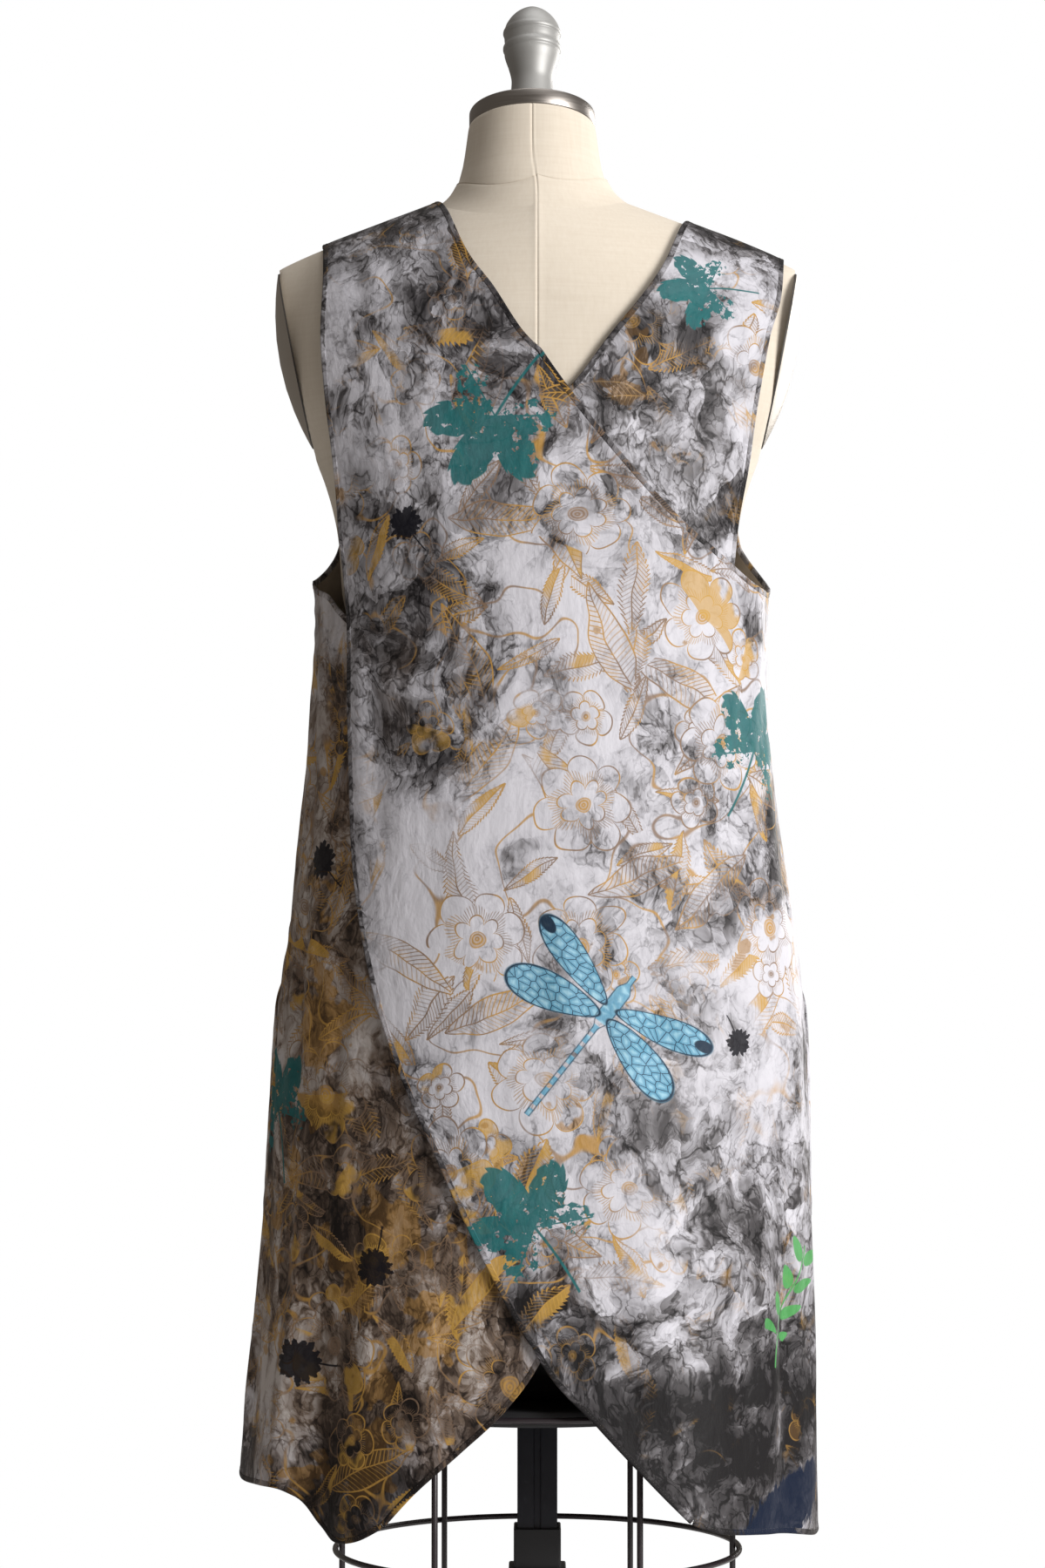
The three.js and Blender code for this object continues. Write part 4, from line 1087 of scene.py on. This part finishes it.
# ---- Panels ----

arm_rows = 104
skirt_rows = 200
back_columns = 104
neck_columns = 90
shoulder_columns = 22


def crowded(count, crowding=0.5):
    at = evenly(count)
    return at + crowding * ((1 - np.cos(np.pi * at)) / 2 - at)


down = np.concatenate([crowded(arm_rows) * underarm,
                       underarm + (1 - underarm) * evenly(skirt_rows, 1.2)[1:]])
shoulder_share = 3 / 18
front_across = np.concatenate([
    evenly(shoulder_columns) * shoulder_share,
    shoulder_share + crowded(neck_columns)[1:-1] * (1 - 2 * shoulder_share),
    1 - shoulder_share + evenly(shoulder_columns) * shoulder_share,
])


def panel_places(face, left, right, top, bottom, across):
    """A patch between four edge lines, whose rows follow the shoulders and are level lower down."""
    s, t = across[None, :, None], down[:, None, None]

    def between(read):
        l, r = read(left(down))[:, None], read(right(down))[:, None]
        a, b = read(top(across))[None], read(bottom(across))[None]
        corners = (a[:, :1] * (1 - s) + a[:, -1:] * s) * (1 - t) + (b[:, :1] * (1 - s) + b[:, -1:] * s) * t
        return l * (1 - s) + r * s + a * (1 - t) + b * t - corners

    hung = between(lambda place: place)
    level = between(lambda place: np.stack([place[..., 0], height_of(place)], axis=-1))
    to_level = share(down, 0, underarm * 0.7)[:, None]
    height = height_of(hung) * (1 - to_level) + level[..., 1] * to_level
    return off_seams(place_at(hung[..., 0], height), face)


panels = {
    "outer": panel_places(
        "back", edges["outer_wrap"], chain((underarm, edges["outer_neck"]), (1.0, right_seam)),
        shoulder_seam(-160, -84), edges["outer_hem"], evenly(back_columns),
    ),
    "under": panel_places(
        "back", chain((underarm, edges["under_neck"]), (1.0, left_seam)), edges["under_wrap"],
        shoulder_seam(120, 184), lambda at: edges["under_hem"](1 - at), evenly(back_columns),
    ),
    "front": panel_places(
        "front", chain((underarm, edges["front_arm_left"]), (1.0, left_seam)),
        chain((underarm, edges["front_arm_right"]), (1.0, right_seam)),
        chain((shoulder_share, shoulder_seam(-160, -84)), (1 - shoulder_share, edges["front_neck"]),
              (1.0, shoulder_seam(120, 184))),
        edges["front_hem"], front_across,
    ),
}
face_of = {"outer": "back", "under": "back", "front": "front"}


def region_at(flat, blobs):
    u, v = flat[..., 0] / mm, flat[..., 1] / mm
    return sum(amount * bell((u - a) / wide) * bell((v - b) / high) for a, b, wide, high, amount in blobs)


binding_painted_shade = 0.34  # painted shade: bindings are made darker to stand for the shadow line along the bound edges


def tint(piece, flat, panel, painted_shade=0.0):
    """Writes the print's broad tones on a piece's points. Its last argument is painted shade, a darker tone
    added to the shade.
    """
    for name, blobs in regions[panel].items():
        more = painted_shade if name == "shade" else 0
        values = np.asarray(region_at(flat.reshape(-1, 2), blobs) + more, np.float32)
        values = np.resize(values, len(piece.data.vertices))
        piece.data.attributes.new(name, "FLOAT", "POINT").data.foreach_set("value", values)


def put(piece, body, node):
    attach(piece, body)
    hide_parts(node)
    return piece


def dress_piece(piece, flat, panel, node, slot="dress_cloth"):
    # Bindings take the painted shade: a darker tone standing for the shadow along their edges.
    tint(piece, flat, panel, binding_painted_shade if slot == "dress_binding" else 0.0)
    return put(piece, "form", node)


def cloth_panel(name, panel, node):
    face, places = face_of[panel], panels[panel]
    flat = cut_map(places, face)
    outer, inner = (on_cloth(places, face, panel, extra) for extra in (cloth_wall, 0.0))
    return dress_piece(shell(name, outer, inner, flat, (panel, "wrong")), flat, panel, node)


def cloth_pocket(name, hand, node):
    def place_on(degrees, z):
        return place_at(hand * math.radians(degrees), z * mm)

    mouth = smooth_edge([place_on(degrees, z) for degrees, z in pocket_mouth])
    low_end, high_end = (place_on(pocket_mouth[i][0], pocket_bottom) for i in (0, -1))
    bottom = straight_edge(low_end, high_end)
    s, t = evenly(pocket_columns), evenly(pocket_rows)[:, None, None]
    places = off_seams(mouth(s)[None] * (1 - t) + bottom(s)[None] * t, "front")
    bulge = pocket_bulge[hand] * np.sin(np.pi * s) ** 0.8 * (1 - t[..., 0] ** 2)
    lift = cloth_wall + seam_gap + bulge
    flat = cut_map(places, "front")
    outer, inner = (on_cloth(places, "front", "front", lift + extra) for extra in (cloth_wall, 0.0))
    piece = shell(name, outer, inner, flat, ("front", "wrong"))
    return dress_piece(piece, flat, "front", node), outline_cut(flat)


def outline_cut(flat):
    """The size and area of a grid of cloth laid flat, from its outline."""
    outline = np.concatenate([flat[0], flat[1:, -1], flat[-1, -2::-1], flat[-2:0:-1, 0]])
    x, y = outline.T
    area = abs(np.sum(x * np.roll(y, -1) - y * np.roll(x, -1))) / 2
    width, length = np.ptp(flat, axis=(0, 1))
    return (float(width), float(length)), float(area)


# ---- Bindings and stitches ----

bound_edges = {
    "outer_neck_binding": ("outer_neck", "outer", -1), "outer_wrap_binding": ("outer_wrap", "outer", 1),
    "outer_hem": ("outer_hem", "outer", 1), "under_neck_binding": ("under_neck", "under", 1),
    "under_wrap_binding": ("under_wrap", "under", -1), "under_hem": ("under_hem", "under", -1),
    "front_neck_binding": ("front_neck", "front", 1),
    "front_arm_binding_left": ("front_arm_left", "front", -1),
    "front_arm_binding_right": ("front_arm_right", "front", 1), "front_hem": ("front_hem", "front", -1),
}


binding_points = 16  # round a binding's section
binding_step = 2.5 * mm  # from section to section
stitch_reach = 1.3 * mm
stitch_size = (1.0 * mm, 0.24 * mm, 0.24 * mm)
stitch_lift = 0.62 * mm
stitched_dip, dip_half = 0.5 * mm, 0.55 * mm  # where the stitches pull a binding in
bolt_step = 0.8 * mm  # of the print, from point to point round a binding


def edge_frame(edge, panel, hand):
    """Points at even steps along an edge line, with their directions aside and outwards."""
    face = face_of[panel]
    rough_shares = evenly(200)
    rough = on_cloth(off_seams(edges[edge](rough_shares), face), face, panel)
    length = run_along(rough)
    steps = int(length[-1] / binding_step)
    shares = np.interp(np.linspace(binding_trim, length[-1] - binding_trim, steps), length, rough_shares)
    place = off_seams(edges[edge](shares), face)
    points = on_cloth(place, face, panel)
    out = outward(place[:, 0], place[:, 1], face)
    aside = np.cross(np.gradient(points, axis=0), out)
    aside *= hand / np.linalg.norm(aside, axis=1, keepdims=True)
    return place, points, aside, out


def bound_edge(name):
    edge, panel, hand = bound_edges[name]
    place, points, aside, out = edge_frame(edge, panel, hand)
    points = points + out * cloth_wall / 2
    angle = full_turn(binding_points)
    c, s = np.cos(angle), np.sin(angle)
    half = (binding_width + binding_lap) / 2
    reach = half - binding_lap + half * np.sign(c) * np.abs(c) ** 0.8
    level = binding_half_wall * np.sign(s) * np.abs(s) ** 0.7
    dip = -stitched_dip * bell((reach - stitch_reach) / dip_half) * np.sign(level)
    rings = along_path(points, aside, out, np.stack([reach, level + dip], axis=-1))
    flat = cut_map(place, face_of[panel])
    way = unit(np.gradient(flat, axis=0))
    normal = np.stack([way[:, 1], -way[:, 0]], axis=-1)
    uv = flat[:, None] + normal[:, None] * (np.arange(binding_points) * bolt_step)[None, :, None]
    piece = sweep(name + "_cloth", rings, (panel, "thread"), uv.reshape(-1, 2))
    around = np.repeat(flat[:, None], binding_points, axis=1)
    piece = dress_piece(piece, around, panel, name, "dress_binding")
    for side in (1, -1):
        row = points + aside * stitch_reach + out * side * stitch_lift
        absorb(piece, stitches(row, np.cross(out, aside)))
    return piece


def stitch_nodes():
    """One stitch on every point, laid along the point's own direction."""
    group = bpy.data.node_groups.new("stitch_row", "GeometryNodeTree")
    sockets = {}
    for name, way, kind in (("Points", "INPUT", "Geometry"), ("Size", "INPUT", "Vector"),
                            ("Thread", "INPUT", "Material"), ("Stitches", "OUTPUT", "Geometry")):
        socket = group.interface.new_socket(name, in_out=way, socket_type="NodeSocket" + kind)
        sockets[name] = socket.identifier
    made = {kind: group.nodes.new(kind) for kind in (
        "NodeGroupInput", "GeometryNodeMeshIcoSphere", "GeometryNodeInputNamedAttribute",
        "FunctionNodeAlignRotationToVector", "GeometryNodeInstanceOnPoints", "GeometryNodeRealizeInstances",
        "GeometryNodeSetMaterial", "NodeGroupOutput")}
    start, ball, along, align, repeat, real, dress, end = made.values()
    along.data_type = "FLOAT_VECTOR"
    along.inputs["Name"].default_value = "along"
    align.axis = "X"
    for source, target in (
        (start.outputs["Points"], repeat.inputs["Points"]),
        (ball.outputs["Mesh"], repeat.inputs["Instance"]),
        (along.outputs["Attribute"], align.inputs["Vector"]),
        (align.outputs["Rotation"], repeat.inputs["Rotation"]),
        (start.outputs["Size"], repeat.inputs["Scale"]),
        (repeat.outputs["Instances"], real.inputs["Geometry"]),
        (real.outputs["Geometry"], dress.inputs["Geometry"]),
        (start.outputs["Thread"], dress.inputs["Material"]),
        (dress.outputs["Geometry"], end.inputs["Stitches"]),
    ):
        group.links.new(source, target)
    return group, sockets


stitch_group, stitch_sockets = stitch_nodes()


def stitches(points, along):
    """A row of stitches as a mesh whose faces use a binding's second material."""
    row = mesh_object("stitch_row", points, [], smooth=False)
    directions = row.data.attributes.new("along", "FLOAT_VECTOR", "POINT")
    directions.data.foreach_set("vector", np.asarray(along, np.float32).ravel())
    repeat = row.modifiers.new("stitches", "NODES")
    repeat.node_group = stitch_group
    repeat[stitch_sockets["Size"]] = stitch_size
    repeat[stitch_sockets["Thread"]] = finishes["thread"]
    sewn = bpy.data.meshes.new_from_object(row.evaluated_get(bpy.context.evaluated_depsgraph_get()))
    row.modifiers.clear()
    old, row.data = row.data, sewn
    bpy.data.meshes.remove(old)
    sewn.polygons.foreach_set("material_index", np.ones(len(sewn.polygons), np.int32))
    sewn.polygons.foreach_set("use_smooth", np.ones(len(sewn.polygons), bool))
    return row


# ---- Form ----


def seam_groove(x):
    """The centre seam of the linen cover."""
    return (0.18 * bell((np.abs(x) - 1.6 * mm) / (0.8 * mm)) - 0.5 * bell(x / (0.6 * mm))) * mm


trunk_rows, trunk_columns = 150, 96
seam_columns = np.array([-0.013, -0.009, -0.006, -0.0035, -0.0015, 0, 0.0015, 0.0035, 0.006, 0.009, 0.013])


def torso_cover():
    turns = (evenly(trunk_columns) - 0.5) * np.pi
    turns = np.sort(np.concatenate([turns[np.abs(turns) > 0.02], seam_columns]))
    count = len(turns) - 1
    round_turns = np.concatenate([turns[:-1], turns[:0:-1]])
    grid = np.zeros((trunk_rows + 1, 2 * count, 3))
    at = evenly(trunk_rows, 1.3)[:, None]
    for face, mask in (("back", slice(0, count)), ("front", slice(count, 2 * count))):
        turn = np.broadcast_to(round_turns[mask], (trunk_rows + 1, count))
        run = run_for(shoulder_height(round_turns[mask], form) - form_bottom) * at
        skin = surface(turn, run, face, form)
        groove = seam_groove(skin[..., 0]) * share(run, 0, top_fade)
        grid[:, mask] = skin + outward(turn, np.maximum(run, mm), face, form) * groove[..., None]
    return grid


def trimmed_shoulders(grid):
    """Presses the shoulder ends to a low dome behind the arm plates."""
    for hand in (-1, 1):
        up, _, out, middle = np.array(plate_frame(hand))[:3].T
        away = grid - middle
        from_middle = (away @ up / plate_half_high) ** 2 + (away[..., 1] / plate_half_deep) ** 2
        dome = plate_swell * np.maximum(1 - from_middle, 0)
        beyond = away @ out + plate_thick + seam_gap - dome
        grid = grid - np.array([hand / abs(out[0]), 0, 0]) * np.maximum(beyond, 0)[..., None]
    return grid


plate_top, plate_foot = (201 * mm, 1353 * mm), (175 * mm, 1220 * mm)
plate_lean = math.atan2(plate_top[0] - plate_foot[0], plate_top[1] - plate_foot[1])
plate_half_high = math.hypot(plate_top[0] - plate_foot[0], plate_top[1] - plate_foot[1]) / 2
plate_half_deep = 49 * mm
plate_thick = 5 * mm
plate_swell = 8 * mm
plate_lip = 1.2 * mm


def plate_frame(hand):
    """A frame on the outer face of an arm plate, with Z pointing away from the form."""
    out = Vector((hand * math.cos(plate_lean), 0, -math.sin(plate_lean)))
    deep = Vector((0, 1, 0))
    made = Matrix((deep.cross(out), deep, out)).transposed().to_4x4()
    made.translation = (hand * (plate_top[0] + plate_foot[0]) / 2, 0, (plate_top[1] + plate_foot[1]) / 2)
    return made


def weld(piece):
    """Joins points that lie in one place."""
    work = bmesh.new()
    work.from_mesh(piece.data)
    bmesh.ops.remove_doubles(work, verts=work.verts, dist=0.02 * mm)
    work.to_mesh(piece.data)
    work.free()
    return piece


def absorb(piece, other):
    """Adds another piece's mesh to a piece."""
    work = bmesh.new()
    work.from_mesh(piece.data)
    work.from_mesh(other.data)
    work.to_mesh(piece.data)
    work.free()
    bpy.data.objects.remove(other)
    return piece


def trunk_height(x, y):
    """Height of the form's skin over a point near its neck, found by repeated steps from neck_height."""
    z = np.full(x.shape, neck_height)
    for _ in range(skin_steps):
        levels = read_form(z)
        half, depth = levels[..., 0], np.where(y < 0, levels[..., 2], levels[..., 3])
        turn = np.arcsin(np.clip(x / half, -1, 1))
        over = np.clip(np.abs(y) / (depth * np.cos(turn)), 0, 1)
        z = shoulder_height(turn, form) - drop_for(shoulder_round * np.arcsin(over))
    return z


skin_steps = 30
neck_height, neck_top = 1420 * mm, 1465 * mm
neck_shift = -4 * mm
neck_tilt = math.radians(9.5)
neck_points = 120
# Half width, half depth and height, and the share of the lean. The foot and the seam have their height over
# the form's skin.
neck_foot = [(80, 67, -1.5), (77, 65.6, -0.6), (74, 64.2, 0.0), (70, 62.4, 1.2), (66, 60.6, 3.1),
             (63, 59.2, 5.3), (60.5, 57.8, 8.2), (59, 56.8, 10.4)]
neck_seam = [(58.2, 56.1, 11.4), (57.6, 55.5, 11.6), (57.5, 55.4, 12.0), (57.8, 55.7, 12.3)]
neck_rise = [(56.4, 54.7, 1422.5, 0), (54.9, 53.3, 1428, 0.05), (53.0, 51.6, 1435, 0.2),
             (51.4, 50.3, 1444, 0.5), (50.0, 49.3, 1454, 0.8), (48.9, 48.8, 1462, 0.97),
             (48.4, 48.4, 1464.5, 1), (47.4, 47.4, 1465.2, 1)]


def neck_cover():
    angle = full_turn(neck_points)
    back = -np.pi / 2
    away = (angle - back + np.pi) % (2 * np.pi) - np.pi
    near_seam = back % (2 * np.pi) + np.arange(-0.02, 0.1, 0.006)
    angle = np.sort(np.concatenate([angle[(away < -0.03) | (away > 0.11)], near_seam]))
    rings = []
    for wide, deep, rise in neck_foot + neck_seam:
        x, y = oval(wide * mm, deep * mm, angle).T + [[neck_shift], [0]]
        rings.append(np.stack([x, y, trunk_height(x, y) + rise * mm], axis=-1))
    for wide, deep, z, lean in neck_rise:
        x, y = oval(wide * mm, deep * mm, angle).T + [[neck_shift], [0]]
        rings.append(np.stack([x, y, z * mm - y * math.tan(lean * neck_tilt)], axis=-1))
    rings = np.array(rings)
    middle = neck_shift * share(rings[..., 2], 1405 * mm, 1440 * mm)
    rings[..., 1] -= seam_groove(rings[..., 0] - middle) * (rings[..., 1] < 0)
    return rings


def inset(outline, by):
    """A closed outline moved inwards along its corners' bisectors."""
    def normal(start, end):
        way = unit(end - start)
        return np.stack([way[:, 1], -way[:, 0]], axis=-1)

    before = normal(np.roll(outline, 1, axis=0), outline)
    after = normal(outline, np.roll(outline, -1, axis=0))
    return outline - by * (before + after) / (1 + np.sum(before * after, axis=1, keepdims=True))


def rounded(corners, radius, steps=4):
    corners = np.array(corners, float)
    found = []
    for i, corner in enumerate(corners):
        a, b = (corner + unit(other - corner) * radius
                for other in (corners[i - 1], corners[(i + 1) % len(corners)]))
        for t in np.arange(steps + 1) / steps:
            found.append(a * (1 - t) ** 2 + 2 * corner * t * (1 - t) + b * t * t)
    return np.array(found)


def square(side):
    h = side / 2
    return [(-h, -h), (h, -h), (h, h), (-h, h)]


def ring(outline, z):
    return np.concatenate([outline, np.full((len(outline), 1), z)], axis=1)


def prism(name, outline, foot, top, bevel, materials):
    levels = [(bevel, foot), (bevel * 0.3, foot + bevel * 0.3), (0, foot + bevel), (0, top - bevel),
              (bevel * 0.3, top - bevel * 0.3), (bevel, top)]
    return sweep(name, np.array([ring(inset(outline, by), z) for by, z in levels]), materials, sharp=40)


def square_tube(name, outside, inside, foot, top, material):
    outer, inner = rounded(square(outside), 2.2 * mm), rounded(square(inside), 0.8 * mm)
    e = 0.6 * mm
    rings = [ring(inset(outer, e), foot), ring(outer, foot + e), ring(outer, top - e),
             ring(inset(outer, e), top),
             ring(inset(inner, -e * 0.5), top), ring(inner, top - e * 0.5), ring(inner, foot + e * 0.5),
             ring(inset(inner, -e * 0.5), foot)]
    return sweep(name, np.array(rings), (material,), closed=True, sharp=40)


trunk = trimmed_shoulders(torso_cover())
torso = weld(sweep("form_torso_cover", trunk, ("linen",), top_end=False, sharp=50))
absorb(torso, sweep("form_neck_cover", neck_cover(), ("linen",), sharp=50))
put(torso, "form", "form_torso")

cap_band, cap_dome = 13 * mm, 1.5 * mm
head = Matrix.Translation((neck_shift, 0, neck_top)) @ Matrix.Rotation(-neck_tilt, 4, "X")
cap_profile = [(0, 0), (46.8, 0), (47.6, 0.25), (48, 0.9), (48, 11.4), (47.6, 12.3), (46.6, 12.8),
               (45, 13.0), (34, 13.5), (23, 14.2), (20, 14.4), (0, 14.5)]
cap = lathe("neck_cap_turned", cap_profile, 128, ("cap",), head @ Matrix.Translation((0, 0, seam_gap)),
            sharp=50)
put(cap, "form", "neck_cap")

finial_rows = np.array([
    (0, 19.2), (1.2, 19.5), (3, 19), (5, 17.9), (10, 17.0), (20, 15.9), (25.5, 15.8), (31, 16.8),
    (37, 18.5), (42, 20.2), (45.5, 21.1), (47, 21.2), (47.9, 21.1), (48.6, 21.4), (49.6, 22.1), (51, 22.3),
    (52.4, 22.1), (53.6, 21.3), (54.4, 21.0), (58, 21.2), (60.8, 21.3), (61.6, 21.2), (62.6, 22.0),
    (63.9, 22.3), (65.3, 22.0), (66.6, 21.2), (67.6, 20.9), (70, 20.1), (73.5, 18.1), (76.8, 15.6),
    (80.5, 11.6), (83.4, 7.0), (85.6, 2.6),
])
read_finial = smooth_table(finial_rows)
finial_z = np.unique(np.concatenate([np.linspace(0, 85.6, 110), finial_rows[:, 0]]))
finial_profile = [(0, 0), *((float(read_finial(z)[0]), float(z)) for z in finial_z), (0, 86)]
finial = lathe("finial_turned", finial_profile, 96, ("finial",),
               head @ Matrix.Translation((0, 0, cap_band + cap_dome + 2 * seam_gap)), sharp=40)
put(finial, "form", "finial")

plate_sides = 96
plate_shares = np.array([0.02, 0.3, 0.55, 0.75, 0.88, 0.95, 0.985, 1.0])
for side, hand in (("left", -1), ("right", 1)):
    outline = oval(plate_half_high, plate_half_deep, full_turn(plate_sides))
    low = plate_swell * (1 - plate_shares ** 2) - plate_thick
    high = low + plate_lip + (plate_thick - plate_lip) * (1 - plate_shares ** 2)
    rings = [ring(outline * k, z) for k, z in zip(plate_shares, low)]
    rings += [ring(outline * (k - 0.004), z) for k, z in zip(plate_shares[::-1], high[::-1])]
    plate = sweep("arm_plate_" + side + "_cover", np.array(rings), ("plate", "rim"), sharp=30)
    # Slot 1 is the band round the rim, which takes the painted shadow colour.
    slots = np.zeros(len(plate.data.polygons), np.int32)
    edge_start = (len(plate_shares) - 1) * plate_sides
    slots[edge_start:edge_start + plate_sides] = 1
    plate.data.polygons.foreach_set("material_index", slots)
    plate.data.transform(plate_frame(hand))
    put(plate, "form", "arm_plate_" + side)

foot_outline = oval(156 * mm, 102 * mm, full_turn(120))
block_rings = []
for z, part, by in ((509.3, 0.8, 6), (509.6, 0.8, 4), (511, 0.802, 1.8), (513.5, 0.806, 0.5),
                    (517, 0.813, 0), (550, 0.875, 0), (590, 0.944, 0), (597, 0.956, 0.4), (599, 0.959, 1.6),
                    (599.6, 0.96, 3.2)):
    block_rings.append(ring(inset(foot_outline * part, by * mm), z * mm))
block = sweep("base_block_moulded", np.array(block_rings), ("black",), sharp=50)
put(block, "form", "base_block")
board_profile = [(0, 497), (142.4, 497), (143.5, 497.5), (144, 498.6), (144, 507.4), (143.5, 508.5),
                 (142.4, 509), (0, 509)]
board = lathe("base_board_cut", board_profile, 144, ("black",), sharp=50)
put(board, "form", "base_board")

wire_radius, rod_circle = 2.25 * mm, 147 * mm
wire = oval(wire_radius, wire_radius, full_turn(16))
rod_ends = [(0.35, 288), (0.75, 288.4), (1.0, 289.3), (1.0, 506.7), (0.75, 507.6), (0.35, 508)]
for i, middle in enumerate(oval(rod_circle, rod_circle, full_turn(6))):
    rings = np.array([ring(wire * part + middle, z * mm) for part, z in rod_ends])
    rod = sweep("cage_rod_%d_wire" % (i + 1), rings, ("wire",), sharp=60)
    put(rod, "form", "cage_rod_%d" % (i + 1))
hoop_radius = rod_circle + 2 * wire_radius + seam_gap
hoop_points = 160
for name, z in (("top", 503), ("middle", 390), ("bottom", 292)):
    away = ring(oval(1, 1, full_turn(hoop_points)), 0)
    rings = along_path(away * hoop_radius + (0, 0, z * mm), away, np.tile([0.0, 0, 1], (hoop_points, 1)),
                       wire)
    hoop = sweep("cage_hoop_%s_wire" % name, rings, ("wire",), closed=True)
    put(hoop, "form", "cage_hoop_" + name)

# Half the column's side, half its grooves' width, and how far out the grooves' floors lie.
h, g, d = 15 * mm, 2.5 * mm, 13.5 * mm
column_foot, column_top = 200 * mm, 496.7 * mm
sleeve_side, collar_side, slot_side = 43 * mm, 35.4 * mm, 31.2 * mm
sleeve_foot, sleeve_top, collar_top = 24.3 * mm, 376 * mm, 406 * mm
grooved = rounded([(-h, -h), (-g, -h), (-g, -d), (g, -d), (g, -h), (h, -h), (h, h), (g, h), (g, d), (-g, d),
                   (-g, h), (-h, h)],
                  0.6 * mm, 3)
column = prism("sliding_column_drawn", grooved, column_foot, column_top, 0.4 * mm, ("column",))
put(column, "form", "sliding_column")
sleeve = square_tube("stand_sleeve_drawn", sleeve_side, slot_side, sleeve_foot, sleeve_top, "stand")
put(sleeve, "stand", "stand_sleeve")
collar_foot = sleeve_top + seam_gap
collar = square_tube("stand_collar_moulded", collar_side, slot_side, collar_foot, collar_top, "black")
put(collar, "stand", "stand_collar")
base_profile = [(0, 0), (223.5, 0), (224.6, 0.4), (225, 1.4), (225, 5), (224.6, 6.4), (223.4, 7.5),
                (221.5, 8.1), (200, 9.2), (140, 11.8), (90, 14.0), (60, 15.6), (49, 17.0), (46, 19),
                (44, 22), (43, 23.4), (41.5, 24), (0, 24)]
base = lathe("stand_base_cast", base_profile, 192, ("stand",), sharp=50)
put(base, "stand", "stand_base")

# ---- Dress ----

front_piece = cloth_panel("dress_front", "front", "front_panel")
outer_piece = cloth_panel("dress_back_outer", "outer", "back_panel_outer")
under_piece = cloth_panel("dress_back_under", "under", "back_panel_under")
pockets = [cloth_pocket("dress_pocket_left", -1, "pocket_left"),
           cloth_pocket("dress_pocket_right", 1, "pocket_right")]
bound = {name: bound_edge(name) for name in bound_edges}

for panel, piece in (("front", front_piece), ("outer", outer_piece), ("under", under_piece)):
    size, area = outline_cut(cut_map(panels[panel], face_of[panel]))

# ---- Studio ----

floor_mesh = bpy.data.meshes.new("studio_floor")
floor_mesh.from_pydata(ring(oval(1.7, 1.7, full_turn(96)), 0).tolist(), [], [list(range(96))])
floor = bpy.data.objects.new("studio_floor", floor_mesh)
bpy.context.scene.collection.objects.link(floor)
paint = Finish("studio_floor", roughness=0.8)
cloudy = paint.noise(paint.object_place(), 3.0)
paint.connect(base_color=paint.ramp(cloudy, (0.0, (0.80, 0.80, 0.80)), (1.0, (0.84, 0.84, 0.84))))
floor_mesh.materials.append(paint.material)


def soft_light(name, place, aim, size, power, colour=(1, 1, 1)):
    data = bpy.data.lights.new(name, "AREA")
    data.size = size
    data.energy = power
    data.color = colour
    lamp = bpy.data.objects.new(name, data)
    lamp.location = place
    lamp.rotation_mode = "QUATERNION"
    lamp.rotation_quaternion = (Vector(aim) - Vector(place)).to_track_quat("-Z", "Y")
    bpy.context.scene.collection.objects.link(lamp)
    return lamp


soft_light("window", (2.7, -2.3, 1.7), (0, 0, 1.0), 1.7, 165, (1.0, 0.985, 0.965))
soft_light("hall", (2.3, 2.6, 1.8), (0, 0, 1.0), 1.6, 70, (1.0, 0.98, 0.95))
soft_light("ceiling", (0.3, -0.2, 3.2), (0, 0, 1.0), 1.6, 16)

world = bpy.data.worlds.new("studio")
bpy.context.scene.world = world
world.use_nodes = True
sky = world.node_tree
chooser = sky.nodes.new("ShaderNodeMixShader")
ray = sky.nodes.new("ShaderNodeLightPath")
sky.links.new(ray.outputs["Is Camera Ray"], chooser.inputs[0])
for slot, colour, strength in ((1, rgba(1.0, 0.90, 0.80), 0.2), (2, rgba(1, 1, 1), 1.0)):
    background = sky.nodes.new("ShaderNodeBackground")
    background.inputs["Color"].default_value = colour
    background.inputs["Strength"].default_value = strength
    sky.links.new(background.outputs[0], chooser.inputs[slot])
sky.links.new(chooser.outputs[0], sky.nodes["World Output"].inputs["Surface"])
bpy.context.scene.view_settings.view_transform = "Standard"

camera = bpy.data.objects.new("camera", bpy.data.cameras.new("camera"))
bpy.context.scene.collection.objects.link(camera)
bpy.context.scene.camera = camera
lens, film = 77, 36
tilt = math.radians(1.85)
camera.data.lens = lens
camera.data.sensor_width = film
camera.data.clip_start = 0.1
camera.location = (0, -2.54, 0.8)
camera.rotation_euler = (math.pi / 2 + tilt, 0, 0)
camera.data.shift_x = -0.009444
camera.data.shift_y = 0.139 - math.tan(tilt) * lens / film
